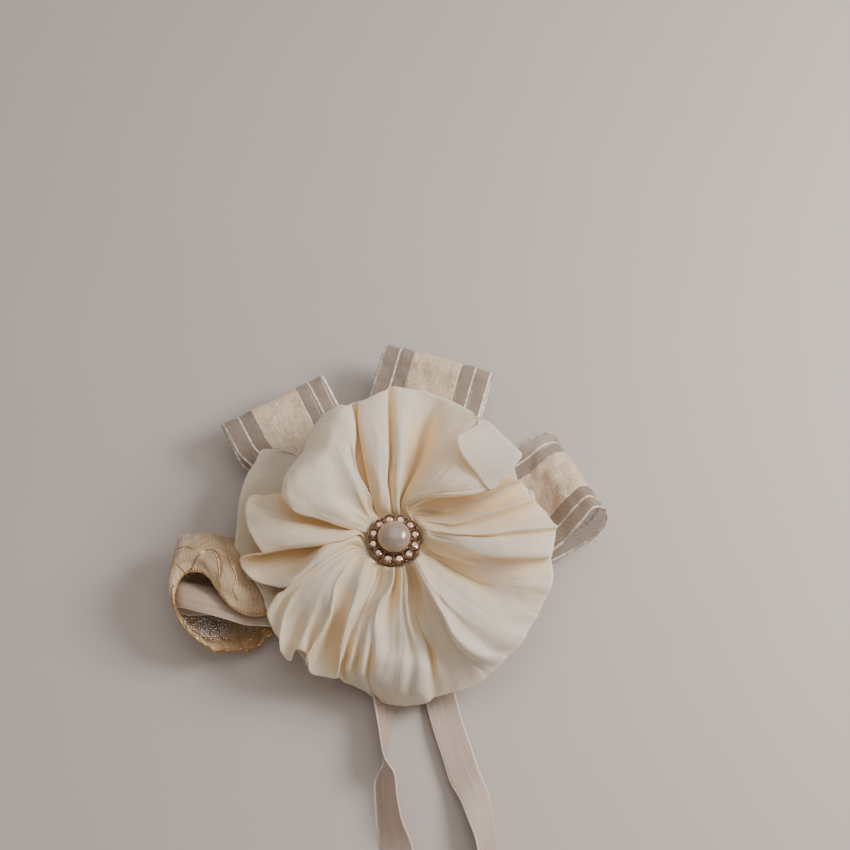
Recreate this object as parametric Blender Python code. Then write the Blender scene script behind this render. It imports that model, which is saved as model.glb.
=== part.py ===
"""Wrist corsage: a gathered satin-chiffon bloom with a pearl brooch, ribbon loops and two ties.

It lies on its felt backing. The origin is the centre of the backing's underside, +Z goes up
out of the bloom, and the two ties leave toward -Y. Lengths are in millimetres and angles in
degrees, and both are converted where meshes are made.
"""
import math

import bmesh
import bpy
from mathutils import Matrix, Vector

MM = 0.001
SHARP_ANGLE = 40.0

# Felt backing
BACKING_RADIUS = 18.0
BACKING_HEIGHT = 1.5
BACKING_BEVEL = 0.2
BACKING_SIDES = 48

# Fabric and ribbon
CLOTH = 0.6
SEAT_GAP = 0.3
RIBBON_WIDTH = 26.0
RIBBON_FLARE = 0.8
SATIN_WIDTH = 10.0
TIE_WIDTH = 7.0
TIE_CUT = 3.5
LAY_HEIGHT = BACKING_HEIGHT + SEAT_GAP + CLOTH / 2

# Bloom: each lobe is (start angle, reach, crown height, height of the valley at its start)
HUB_RADIUS = 4.4
HUB_FLARE = 6.4
LOWER_INNER = 9.2
UPPER_INNER = 12.7
LOWER_LOBES = (
    (348, 35.5, 11.8, 10.9), (14, 34.5, 12.2, 11.0), (60, 34.0, 12.2, 11.0),
    (113, 35.5, 12.6, 11.0), (141, 36.5, 12.4, 11.0), (178, 34.8, 12.4, 11.0),
    (204, 33.5, 11.5, 11.0), (218, 34.0, 10.0, 9.6), (228.5, 33.0, 9.5, 5.0),
    (239, 33.5, 9.0, 4.6), (250, 34.0, 8.5, 4.6), (262, 34.8, 8.0, 4.6),
    (286, 35.2, 8.5, 5.2), (308, 35.0, 9.5, 6.0), (328, 35.0, 11.0, 8.0),
)
UPPER_LOBES = (
    (352, 31.0, 17.5, 14.2), (26, 33.5, 23.0, 14.5), (62, 33.5, 21.5, 18.0),
    (92, 34.0, 20.0, 14.8), (101, 33.5, 20.5, 15.5), (111, 32.5, 24.5, 15.0),
    (137, 29.0, 24.0, 20.5), (164, 33.0, 18.5, 14.2), (188, 31.5, 16.0, 13.2),
    (222, 30.0, 15.5, 12.8), (243, 27.0, 16.5, 12.6), (266, 25.5, 17.0, 12.6),
    (292, 26.5, 17.5, 13.0), (322, 29.0, 17.0, 13.0),
)
LOBE_STEP = 5.0
LOBE_STEPS_LEAST = 4
NOTCH_DEPTH = 1.6
NOTCH_SHARPNESS = 0.7
RISE_SHARPNESS = 1.3
CREST_INNER, CREST_OUTER = 0.6, 1.0
RINGS = 7

# Loops: a root on the backing, an axis angle, and (distance from the root, height) along the
# ribbon, out along the lower run, round the fold and back along the upper run
LEFT_ROOT, LEFT_AXIS = (-8.8, 0.0), 118.5
LEFT_RUN = (
    (8, LAY_HEIGHT), (14, LAY_HEIGHT), (26, 2.4), (35, 3.2), (40, 5.4), (41.5, 8),
    (39.5, 10.4), (34, 9.4), (24, 7.6), (14, 5.4), (8, 3.6),
)
TOP_ROOT, TOP_AXIS = (-3.5, 0.0), 73.5
TOP_RUN = (
    (8, LAY_HEIGHT), (16, LAY_HEIGHT), (30, 2.6), (41, 3.8), (46.5, 6.2), (48.5, 9.4),
    (46, 12.4), (41, 11), (35.5, 9.3), (25, 7.6), (15, 5.4), (8, 3.6),
)
RIGHT_ROOT, RIGHT_AXIS = (0.0, -3.3), 25.0
RIGHT_RUN = (
    (8, LAY_HEIGHT), (17, LAY_HEIGHT + 0.1), (27, 2.3), (35, 2.7), (41, 3.8), (45.5, 6.3),
    (47, 9.6), (45.3, 12.8), (41, 13.2), (36, 10.5), (30, 8.7), (23, 7.3), (15, 5.4),
    (8, 3.6),
)
LACE_ROOT, LACE_AXIS = (0.0, 0.0), 190.0
LACE_RUN = (
    (7, LAY_HEIGHT), (16, LAY_HEIGHT), (28, 2.4), (38, 2.8), (46, 4.4), (50, 7.6),
    (48, 11.5), (42, 12), (37, 10.6), (33, 8.6), (28, 8.2), (16, 6.2), (7, 4.8),
)
SCALLOP_DEPTH = 0.9
SCALLOP_PITCH = 5.0
SATIN_RUN = (
    (7, 3.0), (16, 3.1), (28, 3.9), (38, 5), (44, 6.4), (46, 8), (44, 9.4), (38, 8.8),
    (28, 6.8), (16, 4.9), (7, 3.9),
)
SAMPLES_PER_KNOT = 24
LOOP_STEP = 1.8
LOOP_SPANS = 4

# Twist of a loop about its axis: degrees, then the distances and the heights over which it
# sets in, so that a run that lies on the surface stays flat
NO_ROLL = (0.0, 0.0, 1.0, 0.0, 1.0)
RIGHT_ROLL = (-20.0, 33.0, 44.0, 2.5, 8.0)
LACE_ROLL = (25.0, 33.0, 40.0, 8.0, 10.0)
SATIN_ROLL = (25.0, 33.0, 40.0, 6.5, 8.5)
ROLL_PIVOT = 7.0

# Ties: (x, y, height, roll about the tie's own line)
LEFT_TIE = (
    (-4.2, -6, LAY_HEIGHT, 0), (-4, -14, LAY_HEIGHT, 0), (-3.6, -19, LAY_HEIGHT, 0),
    (-3.1, -24, 1.3, 0), (-2.4, -31, 0.8, 10), (-1.6, -38, 3, 50), (-1.2, -46, 3.9, 90),
    (-0.8, -54, 3, 130), (-0.2, -62, 1.2, 165), (0.6, -70, 0.5, 180), (2.2, -84, 1.5, 180),
    (3, -100, 0.5, 180), (2, -118, 2.4, 180), (-1.5, -136, 0.5, 180), (-5, -152, 1.6, 180),
    (-9, -166, 0.5, 180),
)
RIGHT_TIE = (
    (4.2, -6, LAY_HEIGHT, 0), (5.4, -14, LAY_HEIGHT, 0), (6.5, -19, LAY_HEIGHT, 0),
    (7.8, -24.5, 1.3, 0), (9.9, -31.5, 0.8, -5), (13.2, -45, 2.2, -12), (16.5, -57, 1.6, -8),
    (19, -66, 0.6, 0), (23, -79, 1.8, 0), (27, -92, 0.5, 0), (30, -106, 1.6, 0),
    (31, -120, 2.4, 0), (29.5, -134, 0.6, 0), (28.5, -148, 1.4, 0), (30, -161, 0.5, 0),
)
TIE_FLOOR_GAP = 0.15
TIE_STEP = 3.0
TIE_SPANS = 2

# Brooch, with heights from the underside of its plate
BROOCH_SEAT = UPPER_INNER + CLOTH / 2 + SEAT_GAP
PLATE_RADIUS = 5.2
PLATE_HEIGHT = 0.7
PEDESTAL_RADIUS = 3.0
PEDESTAL_TOP = 1.55
STONE_COUNT = 12
STONE_FIRST_ANGLE = 13.5
STONE_RING = 4.72
CUP_RADIUS = 1.3
CUP_HEIGHT = 1.5
CUP_BORE = 1.02
CUP_FLOOR = 0.8
CUP_SIDES = 12
CUP_PROFILE = (
    (0, 0.1), (1.05, 0.1), (CUP_RADIUS, 0.45), (CUP_RADIUS, CUP_HEIGHT),
    (CUP_BORE, CUP_HEIGHT), (CUP_BORE, CUP_FLOOR), (0, CUP_FLOOR),
)
SEAT_PROFILE = (
    (0, 0), (PLATE_RADIUS, 0), (PLATE_RADIUS, PLATE_HEIGHT), (PEDESTAL_RADIUS, PLATE_HEIGHT),
    (PEDESTAL_RADIUS, PEDESTAL_TOP), (0, PEDESTAL_TOP),
)
STONE_PROFILE = ((0, 0.95), (0.8, 0.95), (0.92, 1.2), (0.5, 1.65), (0, 1.65))
STONE_SIDES = 8
PEARL_PROFILE = (
    (0, 1.7), (2.9, 1.7), (3.45, 2.3), (3.6, 3.0), (3.45, 3.75), (3.05, 4.45), (2.4, 5.0),
    (1.55, 5.35), (0.75, 5.48), (0, 5.5),
)
ROUND_SIDES = 28


def clear_scene():
    for item in list(bpy.data.objects):
        bpy.data.objects.remove(item, do_unlink=True)


def make_material(name, colour, roughness, metallic=0.0):
    material = bpy.data.materials.new(name)
    material.use_nodes = True
    shader = material.node_tree.nodes["Principled BSDF"]
    shader.inputs["Base Color"].default_value = (*colour, 1.0)
    shader.inputs["Roughness"].default_value = roughness
    shader.inputs["Metallic"].default_value = metallic
    return material


def add_solid(name, points, faces, material):
    """One object from points in millimetres, shaded smooth across its soft edges."""
    mesh = bpy.data.meshes.new(name)
    mesh.from_pydata([tuple(c * MM for c in point) for point in points], [], faces)
    mesh.materials.append(material)
    mesh.shade_smooth()
    mesh.set_sharp_from_angle(angle=math.radians(SHARP_ANGLE))
    solid = bpy.data.objects.new(name, mesh)
    bpy.context.scene.collection.objects.link(solid)
    return solid


def polar(radius, degrees):
    angle = math.radians(degrees)
    return radius * math.cos(angle), radius * math.sin(angle)


def curve_point(knots, position):
    """Catmull-Rom through the knots, with position counted in knots."""
    last = len(knots) - 1
    index = min(int(position), last - 1)
    u = position - index
    p1, p2 = knots[index], knots[index + 1]
    p0 = knots[index - 1] if index > 0 else [2 * a - b for a, b in zip(p1, p2)]
    p3 = knots[index + 2] if index + 2 <= last else [2 * b - a for a, b in zip(p1, p2)]
    return [
        0.5 * (2 * b + (c - a) * u + (2 * a - 5 * b + 4 * c - d) * u * u
               + (3 * b - a - 3 * c + d) * u ** 3)
        for a, b, c, d in zip(p0, p1, p2, p3)
    ]


def sample_curve(knots, place_axes):
    """Dense samples of the curve with the length walked along its first place_axes values."""
    count = SAMPLES_PER_KNOT * (len(knots) - 1)
    dense = [curve_point(knots, i / SAMPLES_PER_KNOT) for i in range(count + 1)]
    walked = [0.0]
    for before, after in zip(dense, dense[1:]):
        walked.append(walked[-1] + math.dist(before[:place_axes], after[:place_axes]))
    return dense, walked


def at_length(dense, walked, length):
    """The curve's values where the given length has been walked."""
    length = min(max(length, 0.0), walked[-1])
    index = 1
    while index < len(walked) - 1 and walked[index] < length:
        index += 1
    share = (length - walked[index - 1]) / (walked[index] - walked[index - 1])
    return [a + (b - a) * share for a, b in zip(dense[index - 1], dense[index])]


def blade(name, rows, material):
    """A closed thin solid over a grid of middle points, split alike on both faces."""
    last_row, last_column = len(rows) - 1, len(rows[0]) - 1
    columns = last_column + 1
    top, bottom = [], []
    for i, row in enumerate(rows):
        for j, point in enumerate(row):
            along = rows[min(i + 1, last_row)][j] - rows[max(i - 1, 0)][j]
            across = row[min(j + 1, last_column)] - row[max(j - 1, 0)]
            normal = along.cross(across).normalized() * (CLOTH / 2)
            top.append(point + normal)
            bottom.append(point - normal)
    under = len(top)
    faces = []

    def index(i, j, offset=0):
        return i * columns + j + offset

    for i in range(last_row):
        for j in range(last_column):
            a, b, c, d = index(i, j), index(i + 1, j), index(i + 1, j + 1), index(i, j + 1)
            faces += [(a, b, c), (a, c, d)]
            faces += [(under + a, under + c, under + b), (under + a, under + d, under + c)]
    for j in range(last_column):
        for i, flip in ((0, False), (last_row, True)):
            a, d = index(i, j), index(i, j + 1)
            wall = [(a, d, under + d), (a, under + d, under + a)]
            faces += [face[::-1] for face in wall] if flip else wall
    for i in range(last_row):
        for j, flip in ((0, True), (last_column, False)):
            a, b = index(i, j), index(i + 1, j)
            wall = [(a, b, under + b), (a, under + b, under + a)]
            faces += [face[::-1] for face in wall] if flip else wall
    return add_solid(name, top + bottom, faces, material)


def ramp(value, start, end):
    return min(max((value - start) / (end - start), 0.0), 1.0)


def roll_angle(roll, distance, height):
    degrees, near, far, low, high = roll
    return degrees * ramp(distance, near, far) * ramp(height, low, high)


def loop_blade(name, root, axis, run, width, roll, scallop, material):
    """A ribbon laid out along its axis, folded over and laid back on itself."""
    angle = math.radians(axis)
    outward = Vector((math.cos(angle), math.sin(angle), 0))
    sideways = Vector((-math.sin(angle), math.cos(angle), 0))
    dense, walked = sample_curve(run, 2)
    count = round(walked[-1] / LOOP_STEP)
    rows = []
    for i in range(count + 1):
        length = walked[-1] * i / count
        distance, height = at_length(dense, walked, length)
        twist = Matrix.Rotation(math.radians(roll_angle(roll, distance, height)), 3, outward)
        half = min(width, RIBBON_FLARE * distance) / 2
        half -= scallop * (1 - abs(math.sin(math.pi * length / SCALLOP_PITCH)))
        centre = Vector((*root, ROLL_PIVOT)) + outward * distance
        centre += twist @ Vector((0, 0, height - ROLL_PIVOT))
        across = twist @ sideways
        rows.append([centre + across * half * (2 * j / LOOP_SPANS - 1)
                     for j in range(LOOP_SPANS + 1)])
    return blade(name, rows, material)


def tie_blade(name, knots, cut_side, material):
    """A narrow ribbon lying along the surface, with a slanting cut at its end."""
    dense, walked = sample_curve(knots, 3)
    count = round(walked[-1] / TIE_STEP)
    rows = []
    for i in range(count + 1):
        row = []
        for j in range(TIE_SPANS + 1):
            side = 2 * j / TIE_SPANS - 1
            whole = walked[-1] - TIE_CUT * (1 + cut_side * side) / 2
            length = whole * i / count
            x, y, height, roll = at_length(dense, walked, length)
            ahead = at_length(dense, walked, length + TIE_STEP)
            behind = at_length(dense, walked, length - TIE_STEP)
            heading = Vector((ahead[0] - behind[0], ahead[1] - behind[1], 0)).normalized()
            sideways = Vector((-heading.y, heading.x, 0))
            turn = math.radians(roll)
            low = TIE_WIDTH / 2 * abs(math.sin(turn)) + CLOTH / 2 + TIE_FLOOR_GAP
            centre = Vector((x, y, max(height, low)))
            across = sideways * math.cos(turn) + Vector((0, 0, 1)) * math.sin(turn)
            row.append(centre + across * side * TIE_WIDTH / 2)
        rows.append(row)
    return blade(name, rows, material)


def lobe_columns(lobes):
    """Angle, reach, valley height, crown height and share of the crown for each column."""
    columns = []
    for index, (start, reach, crown, valley) in enumerate(lobes):
        end, next_reach, _, next_valley = lobes[(index + 1) % len(lobes)]
        reach_before = lobes[index - 1][1]
        span = (end - start) % 360
        steps = max(LOBE_STEPS_LEAST, round(span / LOBE_STEP))
        for step in range(steps):
            u = step / steps
            share = math.sin(math.pi * u)
            edge = reach_before if u < 0.5 else next_reach
            notch = min(reach, edge) - NOTCH_DEPTH
            columns.append((
                start + span * u,
                notch + (reach - notch) * share ** NOTCH_SHARPNESS,
                valley + (next_valley - valley) * u,
                crown,
                share,
            ))
    return columns


def gathered_layer(name, lobes, inner_height, hub_bottom, material):
    """A layer of cloth gathered to a hub, as a height field in polar rings."""
    columns = lobe_columns(lobes)
    count = len(columns)
    half = CLOTH / 2
    heights, radii = [], []
    for ring in range(RINGS + 1):
        t = ring / RINGS
        rise = math.sin(math.pi * t / 2) ** RISE_SHARPNESS
        crest = CREST_INNER + (CREST_OUTER - CREST_INNER) * t
        ring_heights, ring_radii = [], []
        for _, reach, valley, crown, share in columns:
            rim = valley + (crown - valley) * share ** crest
            ring_heights.append(inner_height + (rim - inner_height) * rise)
            ring_radii.append(HUB_FLARE + (reach - HUB_FLARE) * t)
        heights.append(ring_heights)
        radii.append(ring_radii)
    top, bottom = [], []
    for ring in range(RINGS + 1):
        for column in range(count):
            angle = columns[column][0]
            radius, height = radii[ring][column], heights[ring][column]
            ahead, behind = (column + 1) % count, column - 1
            turn = math.radians((columns[ahead][0] - columns[behind][0]) % 360)
            cross_slope = (heights[ring][ahead] - heights[ring][behind]) / (radius * turn)
            outer, inner = min(ring + 1, RINGS), max(ring - 1, 0)
            out_slope = ((heights[outer][column] - heights[inner][column])
                         / (radii[outer][column] - radii[inner][column]))
            lift = half * math.sqrt(1 + cross_slope ** 2 + out_slope ** 2) if ring else half
            x, y = polar(radius, angle)
            top.append((x, y, height + lift))
            bottom.append((x, y, height - lift))
    under = len(top)
    faces = []
    for ring in range(RINGS):
        for column in range(count):
            following = (column + 1) % count
            a, b = ring * count + column, (ring + 1) * count + column
            d, c = ring * count + following, (ring + 1) * count + following
            faces += [(a, b, c), (a, c, d)]
            faces += [(under + a, under + c, under + b), (under + a, under + d, under + c)]
    points = top + bottom
    hub_top = len(points)
    points += [(*polar(HUB_RADIUS, column[0]), inner_height - half) for column in columns]
    hub_base = len(points)
    points += [(*polar(HUB_RADIUS, column[0]), hub_bottom) for column in columns]
    crown_point, base_point = len(points), len(points) + 1
    points += [(0, 0, inner_height + half), (0, 0, hub_bottom)]
    rim = RINGS * count
    for column in range(count):
        following = (column + 1) % count
        faces += [(rim + column, under + rim + column, under + rim + following),
                  (rim + column, under + rim + following, rim + following)]
        faces += [(crown_point, column, following)]
        faces += [(under + column, hub_top + column, hub_top + following),
                  (under + column, hub_top + following, under + following)]
        faces += [(hub_top + column, hub_base + column, hub_base + following),
                  (hub_top + column, hub_base + following, hub_top + following)]
        faces += [(base_point, hub_base + following, hub_base + column)]
    return add_solid(name, points, faces, material)


def turned_solid(name, profile, sides, material, centre, turn=0.0):
    """A profile of (radius, height) turned about a vertical line, from one pole to the other."""
    ring_points = [point for point in profile if point[0] > 0]
    points = []
    for radius, height in ring_points:
        for side in range(sides):
            x, y = polar(radius, turn + 360 * side / sides)
            points.append((x, y, height))
    low, high = len(points), len(points) + 1
    points += [(0, 0, profile[0][1]), (0, 0, profile[-1][1])]
    faces = []
    for side in range(sides):
        following = (side + 1) % sides
        for ring in range(len(ring_points) - 1):
            a, b = ring * sides + side, ring * sides + following
            c, d = (ring + 1) * sides + following, (ring + 1) * sides + side
            faces += [(a, b, c), (a, c, d)]
        top_ring = (len(ring_points) - 1) * sides
        faces += [(low, following, side), (high, top_ring + side, top_ring + following)]
    solid = add_solid(name, points, faces, material)
    solid.location = Vector(centre) * MM
    return solid


def make_backing(material):
    mesh = bpy.data.meshes.new("felt_backing")
    disc = bmesh.new()
    bmesh.ops.create_cone(disc, cap_ends=True, segments=BACKING_SIDES, radius1=BACKING_RADIUS * MM,
                          radius2=BACKING_RADIUS * MM, depth=BACKING_HEIGHT * MM)
    disc.to_mesh(mesh)
    disc.free()
    mesh.materials.append(material)
    backing = bpy.data.objects.new("felt_backing", mesh)
    backing.location.z = BACKING_HEIGHT / 2 * MM
    bpy.context.scene.collection.objects.link(backing)
    rounding = backing.modifiers.new("soft_edge", "BEVEL")
    rounding.width = BACKING_BEVEL * MM
    rounding.segments = 1
    return backing


def stone_places():
    for number in range(STONE_COUNT):
        angle = STONE_FIRST_ANGLE + 360 * number / STONE_COUNT
        yield number + 1, angle, polar(STONE_RING, angle)


def make_setting(material):
    """The plate with the pearl's seat, joined with its ring of stone cups."""
    setting = turned_solid("brooch_setting", SEAT_PROFILE, 2 * STONE_COUNT, material,
                           (0, 0, BROOCH_SEAT), STONE_FIRST_ANGLE)
    cups = bpy.data.collections.new("stone_cups")
    for number, angle, (x, y) in stone_places():
        cup = turned_solid(f"cup_{number:02d}", CUP_PROFILE, CUP_SIDES, material,
                           (x, y, BROOCH_SEAT), angle)
        bpy.context.scene.collection.objects.unlink(cup)
        cups.objects.link(cup)
    bpy.context.scene.collection.children.link(cups)
    join = setting.modifiers.new("join_cups", "BOOLEAN")
    join.operation = "UNION"
    join.solver = "EXACT"
    join.operand_type = "COLLECTION"
    join.collection = cups
    bpy.context.view_layer.objects.active = setting
    with bpy.context.temp_override(object=setting, active_object=setting):
        bpy.ops.object.modifier_apply(modifier=join.name)
    for cup in list(cups.objects):
        bpy.data.objects.remove(cup, do_unlink=True)
    bpy.data.collections.remove(cups)
    return setting


def make_brooch(gold, nacre, crystal):
    make_setting(gold)
    turned_solid("pearl", PEARL_PROFILE, ROUND_SIDES, nacre, (0, 0, BROOCH_SEAT))
    for number, angle, (x, y) in stone_places():
        turned_solid(f"rhinestone_{number:02d}", STONE_PROFILE, STONE_SIDES, crystal,
                     (x, y, BROOCH_SEAT), angle)


def make_loops(ribbon, lace, satin):
    loop_blade("ribbon_loop_left", LEFT_ROOT, LEFT_AXIS, LEFT_RUN, RIBBON_WIDTH, NO_ROLL, 0,
               ribbon)
    loop_blade("ribbon_loop_top", TOP_ROOT, TOP_AXIS, TOP_RUN, RIBBON_WIDTH, NO_ROLL, 0,
               ribbon)
    loop_blade("ribbon_loop_right", RIGHT_ROOT, RIGHT_AXIS, RIGHT_RUN, RIBBON_WIDTH,
               RIGHT_ROLL, 0, ribbon)
    loop_blade("lace_loop", LACE_ROOT, LACE_AXIS, LACE_RUN, RIBBON_WIDTH, LACE_ROLL,
               SCALLOP_DEPTH, lace)
    loop_blade("satin_loop", LACE_ROOT, LACE_AXIS, SATIN_RUN, SATIN_WIDTH, SATIN_ROLL, 0,
               satin)


def make_corsage():
    satin_cream = make_material("satin_cream", (0.86, 0.78, 0.62), 0.6)
    organza = make_material("organza_ribbon", (0.80, 0.73, 0.60), 0.45)
    lace = make_material("gold_lace", (0.72, 0.62, 0.45), 0.5)
    satin = make_material("satin_ribbon", (0.84, 0.76, 0.66), 0.4)
    felt = make_material("felt", (0.82, 0.77, 0.68), 0.95)
    gold = make_material("antique_gold", (0.42, 0.29, 0.14), 0.35, 1.0)
    nacre = make_material("pearl_nacre", (0.90, 0.85, 0.76), 0.2)
    crystal = make_material("rhinestone_glass", (0.85, 0.80, 0.72), 0.08)

    make_backing(felt)
    make_loops(organza, lace, satin)
    tie_blade("tie_ribbon_left", LEFT_TIE, 1, satin)
    tie_blade("tie_ribbon_right", RIGHT_TIE, -1, satin)
    gathered_layer("bloom_lower_layer", LOWER_LOBES, LOWER_INNER, BACKING_HEIGHT + SEAT_GAP,
                   satin_cream)
    gathered_layer("bloom_upper_layer", UPPER_LOBES, UPPER_INNER,
                   LOWER_INNER + CLOTH / 2 + SEAT_GAP, satin_cream)
    make_brooch(gold, nacre, crystal)


clear_scene()
make_corsage()
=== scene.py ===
import math

import bpy
import numpy as np
from mathutils import Matrix, Vector, noise
from mathutils.bvhtree import BVHTree


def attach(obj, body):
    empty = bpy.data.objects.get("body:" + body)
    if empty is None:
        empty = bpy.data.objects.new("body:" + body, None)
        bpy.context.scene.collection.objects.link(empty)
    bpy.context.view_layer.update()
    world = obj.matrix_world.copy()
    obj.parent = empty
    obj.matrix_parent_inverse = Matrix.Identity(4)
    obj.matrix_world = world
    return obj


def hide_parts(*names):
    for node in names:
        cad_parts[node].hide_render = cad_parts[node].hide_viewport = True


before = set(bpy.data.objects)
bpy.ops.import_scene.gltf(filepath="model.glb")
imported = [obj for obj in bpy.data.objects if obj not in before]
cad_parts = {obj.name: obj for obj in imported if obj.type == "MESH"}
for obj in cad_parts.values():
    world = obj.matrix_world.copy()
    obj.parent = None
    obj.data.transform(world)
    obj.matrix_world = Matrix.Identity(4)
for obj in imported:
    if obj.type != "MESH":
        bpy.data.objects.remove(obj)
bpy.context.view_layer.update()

MM = 0.001
BODY = "root"
UP = Vector((0, 0, 1))

# Camera: it looks down at the corsage from its tie side, as in the photograph
PHOTO_SIZE = 850
FOCAL_PX = 1944.0
SENSOR = 36.0
CAMERA_ELEVATION = math.radians(66.64)
CAMERA_TARGET = Vector((0, 0, 0.017))
CAMERA_DEPTH = 0.427
TARGET_LEFT_PX, TARGET_BELOW_PX = 31, 110.5

FORWARD = Vector((0, math.cos(CAMERA_ELEVATION), -math.sin(CAMERA_ELEVATION)))
RIGHTWARD = Vector((1, 0, 0))
UPWARD = RIGHTWARD.cross(FORWARD)
CAMERA_PLACE = (CAMERA_TARGET - FORWARD * CAMERA_DEPTH
                + RIGHTWARD * (TARGET_LEFT_PX * CAMERA_DEPTH / FOCAL_PX)
                + UPWARD * (TARGET_BELOW_PX * CAMERA_DEPTH / FOCAL_PX))

# The bloom's knots are read off an enlarged crop of the photograph
CROP_LEFT, CROP_TOP, CROP_SCALE = 225, 380, 4.545


def make_camera():
    data = bpy.data.cameras.new("photo_camera")
    data.sensor_width = SENSOR
    data.lens = FOCAL_PX / PHOTO_SIZE * SENSOR
    camera = bpy.data.objects.new("photo_camera", data)
    turn = Matrix((RIGHTWARD, UPWARD, -FORWARD)).transposed()
    camera.matrix_world = Matrix.Translation(CAMERA_PLACE) @ turn.to_4x4()
    bpy.context.scene.collection.objects.link(camera)
    bpy.context.scene.camera = camera


def pixel_ray(px, py):
    """The way from the camera to what shows at that pixel of the photograph."""
    middle = PHOTO_SIZE / 2
    return (FORWARD + RIGHTWARD * ((px - middle) / FOCAL_PX)
            + UPWARD * ((middle - py) / FOCAL_PX))


def at_crop(x, y, height):
    """The point in millimetres that shows at x, y of the crop and is at that height."""
    ray = pixel_ray(CROP_LEFT + x / CROP_SCALE, CROP_TOP + y / CROP_SCALE)
    reach = (height * MM - CAMERA_PLACE.z) / ray.z
    return (CAMERA_PLACE + ray * reach) / MM


make_camera()


# Curves
SAMPLES_PER_KNOT = 24


def curve_point(knots, position):
    """Catmull-Rom through the knots, with position counted in knots."""
    last = len(knots) - 1
    index = min(int(position), last - 1)
    u = position - index
    p1, p2 = knots[index], knots[index + 1]
    p0 = knots[index - 1] if index > 0 else [2 * a - b for a, b in zip(p1, p2)]
    p3 = knots[index + 2] if index + 2 <= last else [2 * b - a for a, b in zip(p1, p2)]
    return [
        0.5 * (2 * b + (c - a) * u + (2 * a - 5 * b + 4 * c - d) * u * u
               + (3 * b - a - 3 * c + d) * u ** 3)
        for a, b, c, d in zip(p0, p1, p2, p3)
    ]


def sample_curve(knots, place_axes):
    """Dense samples of the curve with the length walked along its first place_axes values."""
    count = SAMPLES_PER_KNOT * (len(knots) - 1)
    dense = [curve_point(knots, i / SAMPLES_PER_KNOT) for i in range(count + 1)]
    walked = [0.0]
    for before, after in zip(dense, dense[1:]):
        walked.append(walked[-1] + math.dist(before[:place_axes], after[:place_axes]))
    return dense, walked


def at_length(dense, walked, length):
    """The curve's values where the given length has been walked."""
    length = min(max(length, 0.0), walked[-1])
    index = int(np.searchsorted(walked, length))
    index = min(max(index, 1), len(walked) - 1)
    share = (length - walked[index - 1]) / (walked[index] - walked[index - 1])
    return [a + (b - a) * share for a, b in zip(dense[index - 1], dense[index])]


def ramp(value, start, end):
    return min(max((value - start) / (end - start), 0.0), 1.0)


def ease(value, start, end):
    share = ramp(value, start, end)
    return share * share * (3 - 2 * share)


def polar(angle, radius=1.0, height=0.0):
    """The point at an angle in radians round the upright axis through the brooch."""
    return Vector((math.cos(angle) * radius, math.sin(angle) * radius, height))


# Meshes: their points are in millimetres until they are made
SHARP_ANGLE = math.radians(40)
POLE_RADIUS = 0.01


def link(name, mesh, material):
    mesh.materials.append(material)
    piece = bpy.data.objects.new(name, mesh)
    bpy.context.scene.collection.objects.link(piece)
    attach(piece, BODY)
    return piece


def stand_in(piece, node):
    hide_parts(node)


def grid_faces(rows, columns, closed=False):
    """Quads over points listed row by row, and from the last column to the first if closed."""
    faces = []
    for low in range(0, (rows - 1) * columns, columns):
        high = low + columns
        for j in range(columns if closed else columns - 1):
            k = (j + 1) % columns
            faces.append((low + j, high + j, high + k, low + k))
    return faces


def ring_faces(base, rings, sides, closed=False):
    """Quads round rings of points, and from the last ring on to the first if closed."""
    faces = []
    for ring in range(rings if closed else rings - 1):
        low, high = base + ring * sides, base + (ring + 1) % rings * sides
        for j in range(sides):
            k = (j + 1) % sides
            faces.append((low + j, low + k, high + k, high + j))
    return faces


def grid_piece(name, grid, coordinates, material, thickness, closed=False):
    """A sheet over a grid of points, with its cloth coordinates as its UV map."""
    rows, columns = len(grid), len(grid[0])
    points = [tuple(c * MM for c in point) for row in grid for point in row]
    mesh = bpy.data.meshes.new(name)
    mesh.from_pydata(points, [], grid_faces(rows, columns, closed))
    face_uv = [coordinates(i + down, j + along)
               for i in range(rows - 1) for j in range(columns if closed else columns - 1)
               for down, along in ((0, 0), (1, 0), (1, 1), (0, 1))]
    layer = mesh.uv_layers.new(name="UVMap")
    layer.data.foreach_set("uv", np.array(face_uv, np.float32).ravel())
    mesh.shade_smooth()
    piece = link(name, mesh, material)
    solid = piece.modifiers.new("cloth_thickness", "SOLIDIFY")
    solid.thickness = thickness * MM
    solid.offset = 0.0
    return piece


def add_tube(data, path, radius, sides, closed=False):
    """Adds a round tube along a path, with a radius or a function of the share walked."""
    points, faces = data
    base, count = len(points), len(path)
    normal = None
    for i, centre in enumerate(path):
        before = path[i - 1] if i > 0 or closed else centre
        after = path[(i + 1) % count] if i < count - 1 or closed else centre
        heading = (after - before).normalized()
        if normal is None:
            normal = heading.orthogonal().normalized()
        normal = (normal - heading * normal.dot(heading)).normalized()
        side = heading.cross(normal)
        size = radius(i / (count - 1)) if callable(radius) else radius
        for s in range(sides):
            angle = 2 * math.pi * s / sides
            points.append(centre + (normal * math.cos(angle) + side * math.sin(angle)) * size)
    faces += ring_faces(base, count, sides, closed)
    if not closed:
        faces.append(tuple(base + s for s in reversed(range(sides))))
        faces.append(tuple(base + (count - 1) * sides + s for s in range(sides)))


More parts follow.
